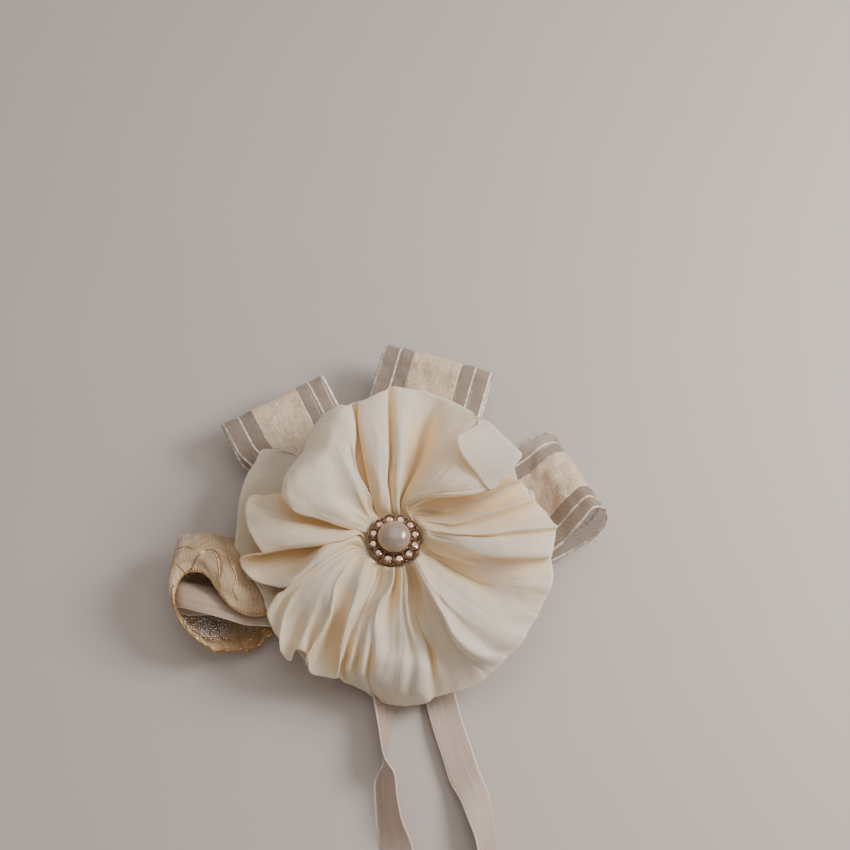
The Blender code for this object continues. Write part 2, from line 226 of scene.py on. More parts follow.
def add_turned(data, profile, sides, centre=(0, 0, 0), turn=0.0):
    """Adds a profile of (radius, height) turned about an upright line, closed at its poles."""
    points, faces = data
    base, rings = len(points), len(profile)
    for radius, height in profile:
        for side in range(sides):
            angle = math.radians(turn) + 2 * math.pi * side / sides
            points.append(Vector(centre) + polar(angle, radius, height))
    faces += ring_faces(base, rings, sides)
    low, high = len(points), len(points) + 1
    points += [Vector(centre) + UP * profile[0][1], Vector(centre) + UP * profile[-1][1]]
    top = base + (rings - 1) * sides
    for side in range(sides):
        k = (side + 1) % sides
        faces += [(low, base + k, base + side), (high, top + side, top + k)]


def add_bead(data, centre, radius, sides=10, rings=6):
    profile = [(max(radius * math.sin(math.pi * k / rings), POLE_RADIUS),
                -radius * math.cos(math.pi * k / rings)) for k in range(rings + 1)]
    add_turned(data, profile, sides, centre)


def mesh_piece(name, data, material, smooth=True):
    points, faces = data
    mesh = bpy.data.meshes.new(name)
    mesh.from_pydata([tuple(c * MM for c in point) for point in points], [], faces)
    if smooth:
        mesh.shade_smooth()
        mesh.set_sharp_from_angle(angle=SHARP_ANGLE)
    return link(name, mesh, material)


# Materials: places and depths are in millimetres, scattering in metres, UV is length by width
PER_METRE = (1000, 1000, 1000)
SCATTER_RADIUS = (1.0, 0.82, 0.6)
# The Mix node's colour sockets share their names with its number sockets
MIX_FIRST, MIX_SECOND, MIX_RESULT = 6, 7, 2


class Shade:
    """A Principled material and the few node helpers that the finishes are written with."""

    def __init__(self, name, **sockets):
        self.material = bpy.data.materials.new(name)
        self.material.use_nodes = True
        self.tree = self.material.node_tree
        self.shader = self.tree.nodes["Principled BSDF"]
        self.shader.inputs["Subsurface Radius"].default_value = SCATTER_RADIUS
        for socket, value in sockets.items():
            self.shader.inputs[socket.replace("_", " ")].default_value = value

    def node(self, kind, **settings):
        made = self.tree.nodes.new(kind)
        for key, value in settings.items():
            setattr(made, key, value)
        return made

    def put(self, socket, value):
        if isinstance(value, bpy.types.NodeSocket):
            self.tree.links.new(value, socket)
        elif value is not None:
            socket.default_value = value

    def set(self, socket, value):
        self.put(self.shader.inputs[socket], value)

    def math(self, operation, *values):
        made = self.node("ShaderNodeMath", operation=operation)
        for socket, value in zip(made.inputs, values):
            self.put(socket, value)
        return made.outputs[0]

    def times(self, first, second):
        return self.math("MULTIPLY", first, second)

    def most(self, first, *others):
        for other in others:
            first = self.math("MAXIMUM", first, other)
        return first

    def mix(self, share, first, second):
        made = self.node("ShaderNodeMix", data_type="RGBA")
        self.put(made.inputs["Factor"], share)
        for place, colour in ((MIX_FIRST, first), (MIX_SECOND, second)):
            self.put(made.inputs[place], (*colour, 1.0) if isinstance(colour, tuple) else colour)
        return made.outputs[MIX_RESULT]

    def span(self, value, low, high, to_low=0.0, to_high=1.0):
        made = self.node("ShaderNodeMapRange")
        for socket, number in zip(made.inputs, (value, low, high, to_low, to_high)):
            self.put(socket, number)
        return made.outputs[0]

    def spread(self, value, to_low=0.0, to_high=1.0):
        """A noise value stretched from the range where it mostly lies."""
        return self.span(value, 0.3, 0.7, to_low, to_high)

    def coordinates(self, kind, scale=(1, 1, 1), rotation=(0, 0, 0)):
        source = self.node("ShaderNodeTexCoord")
        mapping = self.node("ShaderNodeMapping")
        mapping.inputs["Scale"].default_value = scale
        mapping.inputs["Rotation"].default_value = rotation
        self.put(mapping.inputs["Vector"], source.outputs[kind])
        return mapping.outputs[0]

    def place(self):
        return self.coordinates("Object", PER_METRE)

    def noise(self, vector, scale, detail=2.0, roughness=0.5, distortion=0.0):
        made = self.node("ShaderNodeTexNoise")
        self.put(made.inputs["Vector"], vector)
        for socket, value in (("Scale", scale), ("Detail", detail),
                              ("Roughness", roughness), ("Distortion", distortion)):
            made.inputs[socket].default_value = value
        return made.outputs[0]

    def cell_edge(self, vector, scale, randomness):
        """The distance from the edges of a net of cells."""
        made = self.node("ShaderNodeTexVoronoi", feature="DISTANCE_TO_EDGE")
        made.inputs["Scale"].default_value = scale
        made.inputs["Randomness"].default_value = randomness
        self.put(made.inputs["Vector"], vector)
        return made.outputs["Distance"]

    def split(self, vector):
        made = self.node("ShaderNodeSeparateXYZ")
        self.put(made.inputs[0], vector)
        return made.outputs

    def from_brooch(self, place):
        """The distance from the upright axis through the brooch."""
        x, y, _ = self.split(place)
        return self.math("SQRT", self.math("ADD", self.times(x, x), self.times(y, y)))

    def ribs(self, value, pitch):
        return self.math("SINE", self.times(value, 2 * math.pi / pitch))

    def weave(self, uv, pitch):
        """Over-and-under threads, a pitch apart."""
        x, y, _ = self.split(uv)
        return self.times(self.ribs(x, 2 * pitch), self.ribs(y, 2 * pitch))

    def bump(self, height, strength, distance, below=None):
        made = self.node("ShaderNodeBump")
        made.inputs["Strength"].default_value = strength
        made.inputs["Distance"].default_value = distance * MM
        self.put(made.inputs["Height"], height)
        self.put(made.inputs["Normal"], below)
        return made.outputs[0]

    def openness(self, distance, closed, open_wide):
        """From 0 in recesses to 1 in the open, judged within that distance."""
        made = self.node("ShaderNodeAmbientOcclusion", samples=8)
        made.inputs["Distance"].default_value = distance * MM
        return self.span(made.outputs["AO"], closed, open_wide)


# The tints say between which two places they fade, and their shares there
HEM_TINT = (-0.65, -0.5, 0.0, 0.4)
HEM_COLOUR = (0.88, 0.78, 0.66)
# Painted shade: the cloth turns toward its shade colour near the brooch, where the folds gather
GATHER_PAINTED_SHADE = (6.5, 15.0, 0.72, 0.0)
# Painted shade: the cloth turns darker and warmer toward its lower left, the side turned from the key
# light
SHADED_SIDE_WAY = (1.4, 0.6)
SHADED_SIDE_TINT = (-10.0, -40.0, 0.0, 0.34)
SHADED_SIDE_DARKNESS = 0.75
CHIFFON_PITCH = 0.27


def bloom_cloth(name, light, warm, shaded):
    """Satin-chiffon with painted shade: darker and warmer in its valleys, near the brooch and toward
    its lower left.
    """
    s = Shade(name, Roughness=0.6, Sheen_Weight=0.3, Sheen_Roughness=0.4,
              Subsurface_Weight=0.55, Subsurface_Scale=0.003, Specular_IOR_Level=0.3)
    place, uv = s.place(), s.coordinates("UV")
    _, from_rim, _ = s.split(uv)
    face = s.mix(s.spread(s.noise(place, 0.07, detail=3.0)), light, warm)
    face = s.mix(s.span(from_rim, *HEM_TINT), face, HEM_COLOUR)
    # Painted shade near the brooch
    face = s.mix(s.span(s.from_brooch(place), *GATHER_PAINTED_SHADE), face, shaded)
    x, y, _ = s.split(place)
    # Painted shade toward the lower left
    lower_left = s.math("ADD", s.times(x, SHADED_SIDE_WAY[0]), s.times(y, SHADED_SIDE_WAY[1]))
    lower_left_shade = tuple(SHADED_SIDE_DARKNESS * part for part in shaded)
    face = s.mix(s.span(lower_left, *SHADED_SIDE_TINT), face, lower_left_shade)
    # Painted shade: the shade colour fills the valleys and recesses
    s.set("Base Color", s.mix(s.openness(11.0, 0.3, 1.0), shaded, face))
    soft = s.noise(place, 0.9, detail=3.0)
    crease = s.noise(s.coordinates("UV", (2.2, 0.35, 1.0)), 0.55, detail=3.0, roughness=0.55,
                     distortion=0.6)
    s.set("Roughness", s.spread(soft, 0.54, 0.68))
    relief = s.bump(crease, 0.5, 0.35, s.bump(soft, 0.3, 0.14))
    s.set("Normal", s.bump(s.weave(uv, CHIFFON_PITCH), 0.22, 0.04, relief))
    return s.material


BAND_HALF, BAND_FADE = 5.4, 0.25
# Each satin line's distance from the middle of the ribbon, and half its width
SATIN_LINES = ((5.6, 0.13), (9.0, 0.2), (12.7, 0.24))
# The band is lighter on its crinkles' crests and darker in their troughs: painted highlight and shade
BAND_DARK, BAND_LIGHT = (0.57, 0.42, 0.28), (0.72, 0.565, 0.41)
# Painted glints streaked along the satin band
PAINTED_GLINT_COLOUR = (0.92, 0.85, 0.76)
SHEER_DARK, SHEER_LIGHT = (0.31, 0.225, 0.175), (0.42, 0.33, 0.27)
# Painted glints along the satin lines
LINE_DARK, LINE_LIGHT = (0.55, 0.45, 0.36), (0.90, 0.84, 0.76)
ORGANZA_PITCH, ORGANZA_RIBS = 0.28, 0.45


def organza():
    """Sheer ribbon with a crinkled satin band down its middle and fine satin lines, with painted
    glints on both.
    """
    s = Shade("organza_with_satin", Roughness=0.42, Sheen_Weight=0.2, Specular_IOR_Level=0.5,
              Subsurface_Weight=0.15, Subsurface_Scale=0.0015)
    uv = s.coordinates("UV")
    along, across, _ = s.split(uv)
    away = s.math("ABSOLUTE", across)
    band = s.span(away, BAND_HALF, BAND_HALF + BAND_FADE, 1.0, 0.0)
    lines = s.most(*(s.math("LESS_THAN", s.math("ABSOLUTE", s.math("SUBTRACT", away, middle)), half)
                     for middle, half in SATIN_LINES))
    solid = s.most(band, lines)
    crinkle = s.noise(s.coordinates("UV", (0.55, 1.0, 1.0)), 0.8, detail=5.0, roughness=0.6,
                      distortion=1.2)
    # Streaks that carry painted glints on the band, and a little relief
    streak = s.noise(s.coordinates("UV", (1.0, 0.5, 1.0), (0, 0, 0.5)), 0.7, detail=4.0,
                     roughness=0.6, distortion=1.6)
    streak = s.span(streak, 0.56, 0.66)
    # Painted highlight and shade that follow the crinkles
    band_colour = s.mix(s.span(crinkle, 0.38, 0.66), BAND_DARK, BAND_LIGHT)
    band_colour = s.mix(s.times(streak, 0.45), band_colour, PAINTED_GLINT_COLOUR)
    sheer_colour = s.mix(s.spread(s.noise(s.place(), 0.12)), SHEER_DARK, SHEER_LIGHT)
    # Painted glints along the satin lines
    glint = s.noise(s.coordinates("UV", (1.0, 0.4, 1.0)), 1.3, detail=3.0, roughness=0.6)
    line_colour = s.mix(s.span(glint, 0.4, 0.62), LINE_DARK, LINE_LIGHT)
    s.set("Base Color", s.mix(band, s.mix(lines, sheer_colour, line_colour), band_colour))
    threads = s.weave(uv, ORGANZA_PITCH)
    s.set("Alpha", s.most(s.span(threads, -0.6, 0.6, 0.3, 0.55), solid))
    s.set("Roughness", s.math("ADD", s.times(solid, -0.2), 0.5))
    relief = s.times(s.math("ADD", crinkle, s.times(streak, 0.35)), band)
    fine = s.math("ADD", s.ribs(along, ORGANZA_RIBS), threads)
    s.set("Normal", s.bump(relief, 0.55, 0.4, s.bump(fine, 0.2, 0.04)))
    return s.material


SELVEDGE_COLOUR = (0.74, 0.585, 0.485)
SELVEDGE_OUTER, SELVEDGE_INNER = 0.25, 0.35
SATIN_WEFT, SATIN_RIBS = 0.36, 0.5


def satin(name, light, dark, half_width):
    """Narrow satin ribbon with fine ribs and a paler selvedge."""
    s = Shade(name, Roughness=0.42, Sheen_Weight=0.25, Sheen_Roughness=0.4,
              Specular_IOR_Level=0.4, Subsurface_Weight=0.15, Subsurface_Scale=0.001)
    along, across, _ = s.split(s.coordinates("UV"))
    tone = s.noise(s.coordinates("UV", (0.05, 1.6, 1.0)), 1.0, detail=4.0, roughness=0.6)
    edge = s.span(s.math("ABSOLUTE", across), half_width - SELVEDGE_INNER,
                  half_width - SELVEDGE_OUTER)
    colour = s.mix(s.span(tone, 0.36, 0.66), light, dark)
    s.set("Base Color", s.mix(s.times(edge, 0.7), colour, SELVEDGE_COLOUR))
    s.set("Roughness", s.spread(tone, 0.34, 0.52))
    relief = s.bump(s.ribs(along, SATIN_WEFT), 0.25, 0.03, s.bump(tone, 0.35, 0.12))
    s.set("Normal", s.bump(s.math("ADD", s.ribs(across, SATIN_RIBS), edge), 0.4, 0.05, relief))
    return s.material


LACE_DARK, LACE_LIGHT = (0.42, 0.30, 0.185), (0.50, 0.37, 0.245)
LEAF_COLOUR, OUTLINE_COLOUR = (0.54, 0.405, 0.27), (0.50, 0.31, 0.14)
# The lace's root colour is painted shade: browner where the bloom overhangs the lace
LACE_RIM_COLOUR, LACE_ROOT_SHADE_COLOUR = (0.62, 0.39, 0.19), (0.40, 0.26, 0.14)
# Painted shade in the lace's recesses
LACE_SHADED = (0.42, 0.28, 0.165)
LACE_RIM = (10.4, 12.8)
LACE_ROOT_PAINTED_SHADE = (33.0, 45.0, 0.9, 0.0)
LACE_LEAST_ALPHA = 0.76
LACE_RIBS = 0.55


def lace_net():
    """A dense net with leaf figures outlined in gold, with painted shade in its recesses and toward
    the bloom.
    """
    s = Shade("gold_edged_lace", Roughness=0.5, Specular_IOR_Level=0.5, Sheen_Weight=0.2)
    uv = s.coordinates("UV")
    along, across, _ = s.split(uv)
    net = s.span(s.cell_edge(uv, 1.5, 0.4), 0.1, 0.2, 1.0, 0.0)
    figure = s.cell_edge(s.coordinates("UV", rotation=(0, 0, 0.4)), 0.2, 0.9)
    outline = s.math("LESS_THAN", figure, 0.012)
    leaf = s.span(figure, 0.1, 0.16)
    rim = s.span(s.math("ABSOLUTE", across), *LACE_RIM)
    colour = s.mix(s.span(s.noise(uv, 0.22), 0.4, 0.6), LACE_DARK, LACE_LIGHT)
    colour = s.mix(leaf, colour, LEAF_COLOUR)
    colour = s.mix(outline, colour, OUTLINE_COLOUR)
    colour = s.mix(s.times(rim, 0.7), colour, LACE_RIM_COLOUR)
    # Painted shade of the bloom over the lace, browner nearer the brooch
    away = s.from_brooch(s.place())
    colour = s.mix(s.span(away, *LACE_ROOT_PAINTED_SHADE), colour, LACE_ROOT_SHADE_COLOUR)
    # Painted shade in the recesses
    s.set("Base Color", s.mix(s.openness(9.0, 0.1, 0.75), LACE_SHADED, colour))
    s.set("Metallic", s.times(s.most(outline, rim), 0.35))
    body = s.most(net, outline, s.times(leaf, 0.8))
    s.set("Alpha", s.most(body, rim, LACE_LEAST_ALPHA))
    ribs = s.times(s.ribs(along, LACE_RIBS), s.times(rim, 0.5))
    s.set("Normal", s.bump(s.math("ADD", body, ribs), 0.7, 0.14))
    return s.material


def metal(name, base, dark, roughness, depth):
    """Metal that is darker in its recesses of that depth, with small dents."""
    s = Shade(name, Metallic=1.0, Roughness=roughness)
    place = s.place()
    bright = s.mix(s.spread(s.noise(place, 1.4, detail=3.0)), base, tuple(c * 0.82 for c in base))
    s.set("Base Color", s.mix(s.openness(depth, 0.3, 0.9), dark, bright))
    s.set("Roughness", s.spread(s.noise(place, 3.0), roughness - 0.06, roughness + 0.14))
    s.set("Normal", s.bump(s.noise(place, 5.0), 0.15, 0.05))
    return s.material


NACRE_DARK, NACRE_LIGHT = (0.23, 0.172, 0.146), (0.29, 0.228, 0.197)
# Painted sheen colour at the pearl's outline
NACRE_RIM_SHEEN = (0.52, 0.35, 0.22)


def nacre():
    s = Shade("pearl_nacre", Roughness=0.28, Metallic=0.15, Coat_Weight=0.7, Coat_Roughness=0.06,
              Subsurface_Weight=0.3, Subsurface_Scale=0.0015, Sheen_Weight=0.15,
              Specular_IOR_Level=0.6)
    tone = s.noise(s.place(), 0.5)
    # Painted sheen: the pearl turns paler and warmer toward its outline as the camera sees it
    rim = s.node("ShaderNodeLayerWeight")
    rim.inputs["Blend"].default_value = 0.35
    face = s.mix(s.span(tone, 0.35, 0.65), NACRE_DARK, NACRE_LIGHT)
    s.set("Base Color", s.mix(rim.outputs["Facing"], face, NACRE_RIM_SHEEN))
    s.set("Normal", s.bump(tone, 0.05, 0.05))
    return s.material


def crystal():
    s = Shade("rhinestone_glass", Roughness=0.06, Metallic=0.55, IOR=1.6, Coat_Weight=0.5,
              Coat_Roughness=0.03)
    tone = s.span(s.noise(s.place(), 0.9, detail=1.0), 0.35, 0.65)
    s.set("Base Color", s.mix(tone, (0.34, 0.21, 0.15), (0.72, 0.53, 0.42)))
    return s.material


def wool_felt():
    s = Shade("wool_felt", Roughness=0.95, Sheen_Weight=0.5, Sheen_Roughness=0.6,
              Specular_IOR_Level=0.15)
    fibre = s.noise(s.place(), 2.2, detail=6.0, roughness=0.7, distortion=1.5)
    s.set("Base Color", s.mix(s.spread(fibre), (0.74, 0.69, 0.60), (0.86, 0.82, 0.74)))
    s.set("Normal", s.bump(fibre, 0.8, 0.25))
    return s.material


def floor_finish():
    s = Shade("pale_floor", Roughness=0.7, Specular_IOR_Level=0.2)
    tone = s.noise(s.coordinates("Object", (10, 10, 10)), 3.0)
    s.set("Base Color", s.mix(tone, (0.46, 0.41, 0.38), (0.48, 0.43, 0.40)))
    return s.material


# Each cloth's third colour is its painted shade colour
UPPER_CLOTH = bloom_cloth("bloom_satin_chiffon", (0.85, 0.685, 0.53), (0.82, 0.635, 0.455),
                          (0.88, 0.64, 0.345))
# The lower layer's colours are darker than the upper's: partly a sheerer cloth, partly painted shade
LOWER_CLOTH = bloom_cloth("bloom_under_chiffon", (0.72, 0.575, 0.44), (0.70, 0.54, 0.395),
                          (0.76, 0.55, 0.31))
ORGANZA = organza()
# The ties' satin is darker than cream: painted shade
TIE_SATIN = satin("tie_satin", (0.355, 0.268, 0.22), (0.43, 0.33, 0.278), 3.5)
LOOP_SATIN = satin("loop_satin", (0.37, 0.27, 0.20), (0.45, 0.335, 0.25), 5.0)
LACE = lace_net()
GOLD = metal("antique_gold", (0.40, 0.235, 0.13), (0.05, 0.02, 0.01), 0.32, 0.8)
GOLD_THREAD = metal("gold_thread", (0.56, 0.34, 0.15), (0.16, 0.07, 0.025), 0.34, 0.6)
SILVER = metal("silver_bead", (0.92, 0.88, 0.88), (0.34, 0.28, 0.28), 0.2, 0.5)


# Ties: each knot is x, y, height and the roll about the tie's own line in degrees
LAY_HEIGHT = 2.1
TIE_WIDTH = 7.0
TIE_THICKNESS = 0.24
TIE_CUT = 3.5
TIE_ROW_STEP = 1.2
TIE_SPANS = 12
HEADING_STEP = 3.0
TIE_CLEARANCE = 0.45
TIE_CUPPING, TIE_CUPPING_LENGTH = 0.18, 9.0
LEFT_TIE = (
    (-4.2, -6, LAY_HEIGHT, 0), (-4, -14, LAY_HEIGHT, 0), (-3.6, -19, LAY_HEIGHT, 0),
    (-2.9, -25, 1.4, -8), (-2.0, -32, 3, -38), (-2.0, -39.5, 3.7, -67), (-2.0, -46.8, 3.9, -90),
    (-1.7, -50.5, 3.2, -126), (-1.4, -55, 3.1, -131), (-0.5, -61, 2.8, -140),
    (1.4, -68, 1.2, -163), (2.6, -84, 1.5, -180), (3, -100, 0.5, -180), (2, -118, 2.4, -180),
    (-1.5, -136, 0.5, -180), (-5, -152, 1.6, -180), (-9, -166, 0.5, -180),
)
RIGHT_TIE = (
    (4.2, -6, LAY_HEIGHT, 0), (5.4, -14, LAY_HEIGHT, 0), (6.5, -19, LAY_HEIGHT, 0),
    (7.9, -24.5, 1.3, 0), (10.1, -32, 0.8, -5), (11.9, -38.8, 1.4, -9), (14.2, -46, 1.8, -6),
    (15.4, -50, 1.8, -4), (17.3, -54, 2.2, -20), (18.7, -59, 2.6, -35), (19.8, -63.5, 3, -46),
    (20.4, -68, 3, -49), (22.5, -79, 2, -25), (26.4, -92, 0.6, 0), (30, -106, 1.6, 0),
    (31, -120, 2.4, 0), (29.5, -134, 0.6, 0), (28.5, -148, 1.4, 0), (30, -161, 0.5, 0),
)


def make_tie(name, knots, cut_side):
    """A narrow ribbon lying along the floor, with a slanting cut at its end."""
    dense, walked = sample_curve(knots, 3)
    total = walked[-1]
    count = round(total / TIE_ROW_STEP)
    grid, path = [], []
    for i in range(count + 1):
        row = []
        for j in range(TIE_SPANS + 1):
            side = 2 * j / TIE_SPANS - 1
            length = (total - TIE_CUT * (1 + cut_side * side) / 2) * i / count
            x, y, height, roll = at_length(dense, walked, length)
            ahead = at_length(dense, walked, length + HEADING_STEP)
            behind = at_length(dense, walked, length - HEADING_STEP)
            heading = Vector((ahead[0] - behind[0], ahead[1] - behind[1], 0)).normalized()
            sideways = UP.cross(heading)
            turn = math.radians(roll)
            low = TIE_WIDTH / 2 * abs(math.sin(turn)) + TIE_CLEARANCE
            across = sideways * math.cos(turn) + UP * math.sin(turn)
            lift = UP * math.cos(turn) - sideways * math.sin(turn)
            cup = TIE_CUPPING * (1 - side * side) * math.cos(length / TIE_CUPPING_LENGTH)
            row.append(Vector((x, y, max(height, low)))
                       + across * side * TIE_WIDTH / 2 + lift * cup)
        grid.append(row)
        path.append([c * MM for c in row[TIE_SPANS // 2]])
    piece = grid_piece(name, grid, lambda i, j: (
        total * i / count, TIE_WIDTH * (j / TIE_SPANS - 0.5)), TIE_SATIN, TIE_THICKNESS)
    stand_in(piece, name)


make_tie("tie_ribbon_left", LEFT_TIE, 1)
make_tie("tie_ribbon_right", RIGHT_TIE, -1)


# Loops: a run is (distance from the root, height) out along the floor, round and back
RIBBON_WIDTH = 26.0
RIBBON_FLARE = 0.8
SATIN_WIDTH = 10.0
LEFT_RUN = (
    (8, LAY_HEIGHT), (14, LAY_HEIGHT), (26, 2.4), (35, 3.2), (40, 5.4), (41.5, 8),
    (39.5, 10.4), (34, 9.4), (24, 7.6), (14, 5.4), (8, 3.6),
)
TOP_RUN = (
    (8, LAY_HEIGHT), (16, LAY_HEIGHT), (30, 2.6), (41, 3.8), (46.5, 6.2), (48.5, 9.4),
    (46, 12.4), (41, 11), (35.5, 9.3), (25, 7.6), (15, 5.4), (8, 3.6),
)
RIGHT_RUN = (
    (8, LAY_HEIGHT), (17, LAY_HEIGHT + 0.1), (27, 2.3), (35, 2.7), (41, 3.8), (45.5, 6.3),
    (47, 9.6), (45.3, 12.8), (41, 13.2), (36, 10.5), (30, 8.7), (23, 7.3), (15, 5.4),
    (8, 3.6),
)
LACE_RUN = (
    (7, LAY_HEIGHT), (16, LAY_HEIGHT), (28, 2.4), (38, 2.8), (46, 4.4), (50, 7.6),
    (48, 11.5), (42, 12), (37, 10.6), (33, 8.6), (28, 8.2), (16, 6.2), (7, 4.8),
)
SATIN_RUN = (
    (7, 3.0), (16, 3.1), (28, 3.9), (38, 5), (44, 6.4), (46, 8), (44, 9.4), (38, 8.8),
    (28, 6.8), (16, 4.9), (7, 3.9),
)
LACE_ROOT, LACE_AXIS = (0.0, 0.0), 190.0
# A roll is degrees about the loop's axis, then the distances and heights where it grows
NO_ROLL = (0.0, 0.0, 1.0, 0.0, 1.0)
RIGHT_ROLL = (-20.0, 33.0, 44.0, 2.5, 8.0)
SATIN_ROLL = (12.0, 33.0, 40.0, 6.5, 8.5)
ROLL_PIVOT = 7.0
LOOP_ROW_STEP = 0.8
LOOP_SPANS = 28
LOOP_THICKNESS = 0.24
LOOP_FREE = (18, 32)
LOOP_END = (28, 38)
SCALLOP_DEPTH, SCALLOP_PITCH = 0.6, 5.0
# A crinkle is the height of slow bends, of fine ones and of sharp folds
RIBBON_CRINKLE, SATIN_CRINKLE, LACE_CRINKLE = (0.5, 0.2, 0.4), (0.3, 0.0, 0.0), (0.6, 0.3, 0.0)
BEND_LENGTH, FINE_LENGTH, FOLD_LENGTH, FOLD_SLANT = 9, 2.6, 5.5, 14
BENDS_ACROSS, FINE_ACROSS, FOLDS_ACROSS = 1.1, 5.5, 2.4
FOLD_WIDTH = 0.2
RIBBON_LOOPS = (
    ("ribbon_loop_left", (-8.8, 0.0), 118.5, LEFT_RUN, NO_ROLL, 3),
    ("ribbon_loop_top", (-3.5, 0.0), 73.5, TOP_RUN, NO_ROLL, 11),
    ("ribbon_loop_right", (0.0, -3.3), 25.0, RIGHT_RUN, RIGHT_ROLL, 19),
)


def crinkled(length, side, seed, crinkle, distance):
    """How far the ribbon stands off its smooth run."""
    bend, fine, sharp = crinkle
    slow = noise.noise(Vector((length / BEND_LENGTH, side * BENDS_ACROSS, seed)))
    quick = noise.noise(Vector((length / FINE_LENGTH, side * FINE_ACROSS, seed + 7)))
    fold = abs(noise.noise(Vector((length / FOLD_LENGTH, side * FOLDS_ACROSS + length / FOLD_SLANT,
                                   seed + 21))))
    fold = max(0.0, FOLD_WIDTH - fold) / FOLD_WIDTH * ease(distance, *LOOP_END)
    return ease(distance, *LOOP_FREE) * (bend * slow + fine * quick + sharp * fold)


def loop_grid(root, axis, run, width, roll, scallop, crinkle, seed, reshape=None):
    """A ribbon laid out along its axis, folded over and laid back on itself."""
    outward = polar(math.radians(axis))
    sideways = UP.cross(outward)
    dense, walked = sample_curve(run, 2)
    total = walked[-1]
    fold_length = walked[max(range(len(dense)), key=lambda k: dense[k][0])]
    count = round(total / LOOP_ROW_STEP)
    degrees, near, far, low, high = roll
    grid = []
    for i in range(count + 1):
        length = total * i / count
        distance, height = at_length(dense, walked, length)
        ahead = at_length(dense, walked, length + LOOP_ROW_STEP)
        behind = at_length(dense, walked, length - LOOP_ROW_STEP)
        slope = math.atan2(ahead[1] - behind[1], ahead[0] - behind[0])
        rolled = degrees * ramp(distance, near, far) * ramp(height, low, high)
        twist = Matrix.Rotation(math.radians(rolled), 3, outward)
        half = min(width, RIBBON_FLARE * distance) / 2
        half -= scallop * (1 - abs(math.sin(math.pi * length / SCALLOP_PITCH)))
        centre = Vector((*root, ROLL_PIVOT)) + outward * distance
        centre += twist @ (UP * (height - ROLL_PIVOT))
        across = twist @ sideways
        lift = twist @ (UP * math.cos(slope) - outward * math.sin(slope))
        row = []
        for j in range(LOOP_SPANS + 1):
            side = 2 * j / LOOP_SPANS - 1
            point = centre + across * side * half
            if reshape:
                point = reshape(point, distance, side, length - fold_length, outward, sideways)
            row.append(point + lift * crinkled(length, side, seed, crinkle, distance))
        grid.append(row)
    return grid, total


def make_loop(name, material, grid, total, width):
    rows = len(grid) - 1
    piece = grid_piece(name, grid, lambda i, j: (
        total * i / rows, width * (j / LOOP_SPANS - 0.5)), material, LOOP_THICKNESS)
    stand_in(piece, name)


for loop_name, loop_root, loop_axis, loop_run, loop_roll, loop_seed in RIBBON_LOOPS:
    loop, loop_length = loop_grid(loop_root, loop_axis, loop_run, RIBBON_WIDTH, loop_roll, 0,
                                  RIBBON_CRINKLE, loop_seed)
    make_loop(loop_name, ORGANZA, loop, loop_length, RIBBON_WIDTH)


# The satin loop's shift to the side, by its distance from the root
SATIN_SWAY = ((7, 0.0), (12, 2.0), (20, 7.0), (28, 9.2), (35, 8.0), (41.6, 4.6), (47, 1.4))
SATIN_PULL_IN = 1.25
SATIN_OUTER_SHIFT = 2.2
SATIN_CROWN, SATIN_FLAT_SHARE = 1.5, 0.35
SATIN_REACH, SATIN_SINK = 4.0, 0.5


def sway_satin(point, distance, side, past_fold, outward, sideways):
    """Bends the narrow ribbon sideways to the lace loop's open side, and crowns it."""
    places, shifts = zip(*SATIN_SWAY)
    shift = float(np.interp(distance, places, shifts)) - side * SATIN_PULL_IN
    shift -= SATIN_OUTER_SHIFT * ease(-past_fold, 1, 8) * ease(distance, 20, 30)
    crowned = SATIN_FLAT_SHARE + (1 - SATIN_FLAT_SHARE) * ease(distance, 34, 42)
    crown = SATIN_CROWN * (1 - side * side) * crowned
    return (point + sideways * shift + outward * SATIN_REACH * ease(distance, 32, 46)
            + UP * (crown - SATIN_SINK))


# Lateral place and height of the lace's upper run, from its far edge to its near one
LACE_STAND = ((-9.4, 2.6), (-11.4, 8), (-8.6, 12.3), (-4.2, 13.5), (0.6, 11.8))
LACE_TIP = (36, 50)
LACE_SHIFT, LACE_TIP_SHIFT = 3.0, 3.0
NEAR_EDGE_OUT, NEAR_EDGE_IN = 1.2, 3.0
NEAR_CORNER_CUT, FAR_CORNER_CUT = 6.0, 2.0
LACE_BULGE = 3.8


def stand_lace(point, distance, side, past_fold, outward, sideways):
    """Stands the upper run up along its far side, and rounds the near corner of the fold."""
    aside, height = curve_point(LACE_STAND, (side + 1) / 2 * (len(LACE_STAND) - 1))
    aside += ease(side, 0.0, 1.0) * (NEAR_EDGE_OUT - NEAR_EDGE_IN * ease(distance, 32, 46))
    upright = Vector((*LACE_ROOT, height)) + outward * distance + sideways * aside
    stood = ease(past_fold, 0, 6) * ease(distance, 24, 44)
    shift = LACE_SHIFT * ease(distance, 24, 40)
    shift += LACE_TIP_SHIFT * ease(distance, *LACE_TIP) * ease(-side, 0.0, 1.0)
    point = (point + sideways * shift).lerp(upright, stood)
    cut = NEAR_CORNER_CUT * ease(side, 0.2, 1.0) * ease(distance, 30, 47)
    cut += FAR_CORNER_CUT * ease(-side, 0.2, 1.0) * ease(distance, *LACE_TIP)
    bulge = LACE_BULGE * 4 * stood * (1 - stood) * ease(side, -0.2, 1.0)
    return point + outward * (bulge - cut * (1 - stood))


SATIN_GRID, SATIN_LENGTH = loop_grid(LACE_ROOT, LACE_AXIS, SATIN_RUN, SATIN_WIDTH, SATIN_ROLL,
                                     0, SATIN_CRINKLE, 31, sway_satin)
make_loop("satin_loop", LOOP_SATIN, SATIN_GRID, SATIN_LENGTH, SATIN_WIDTH)

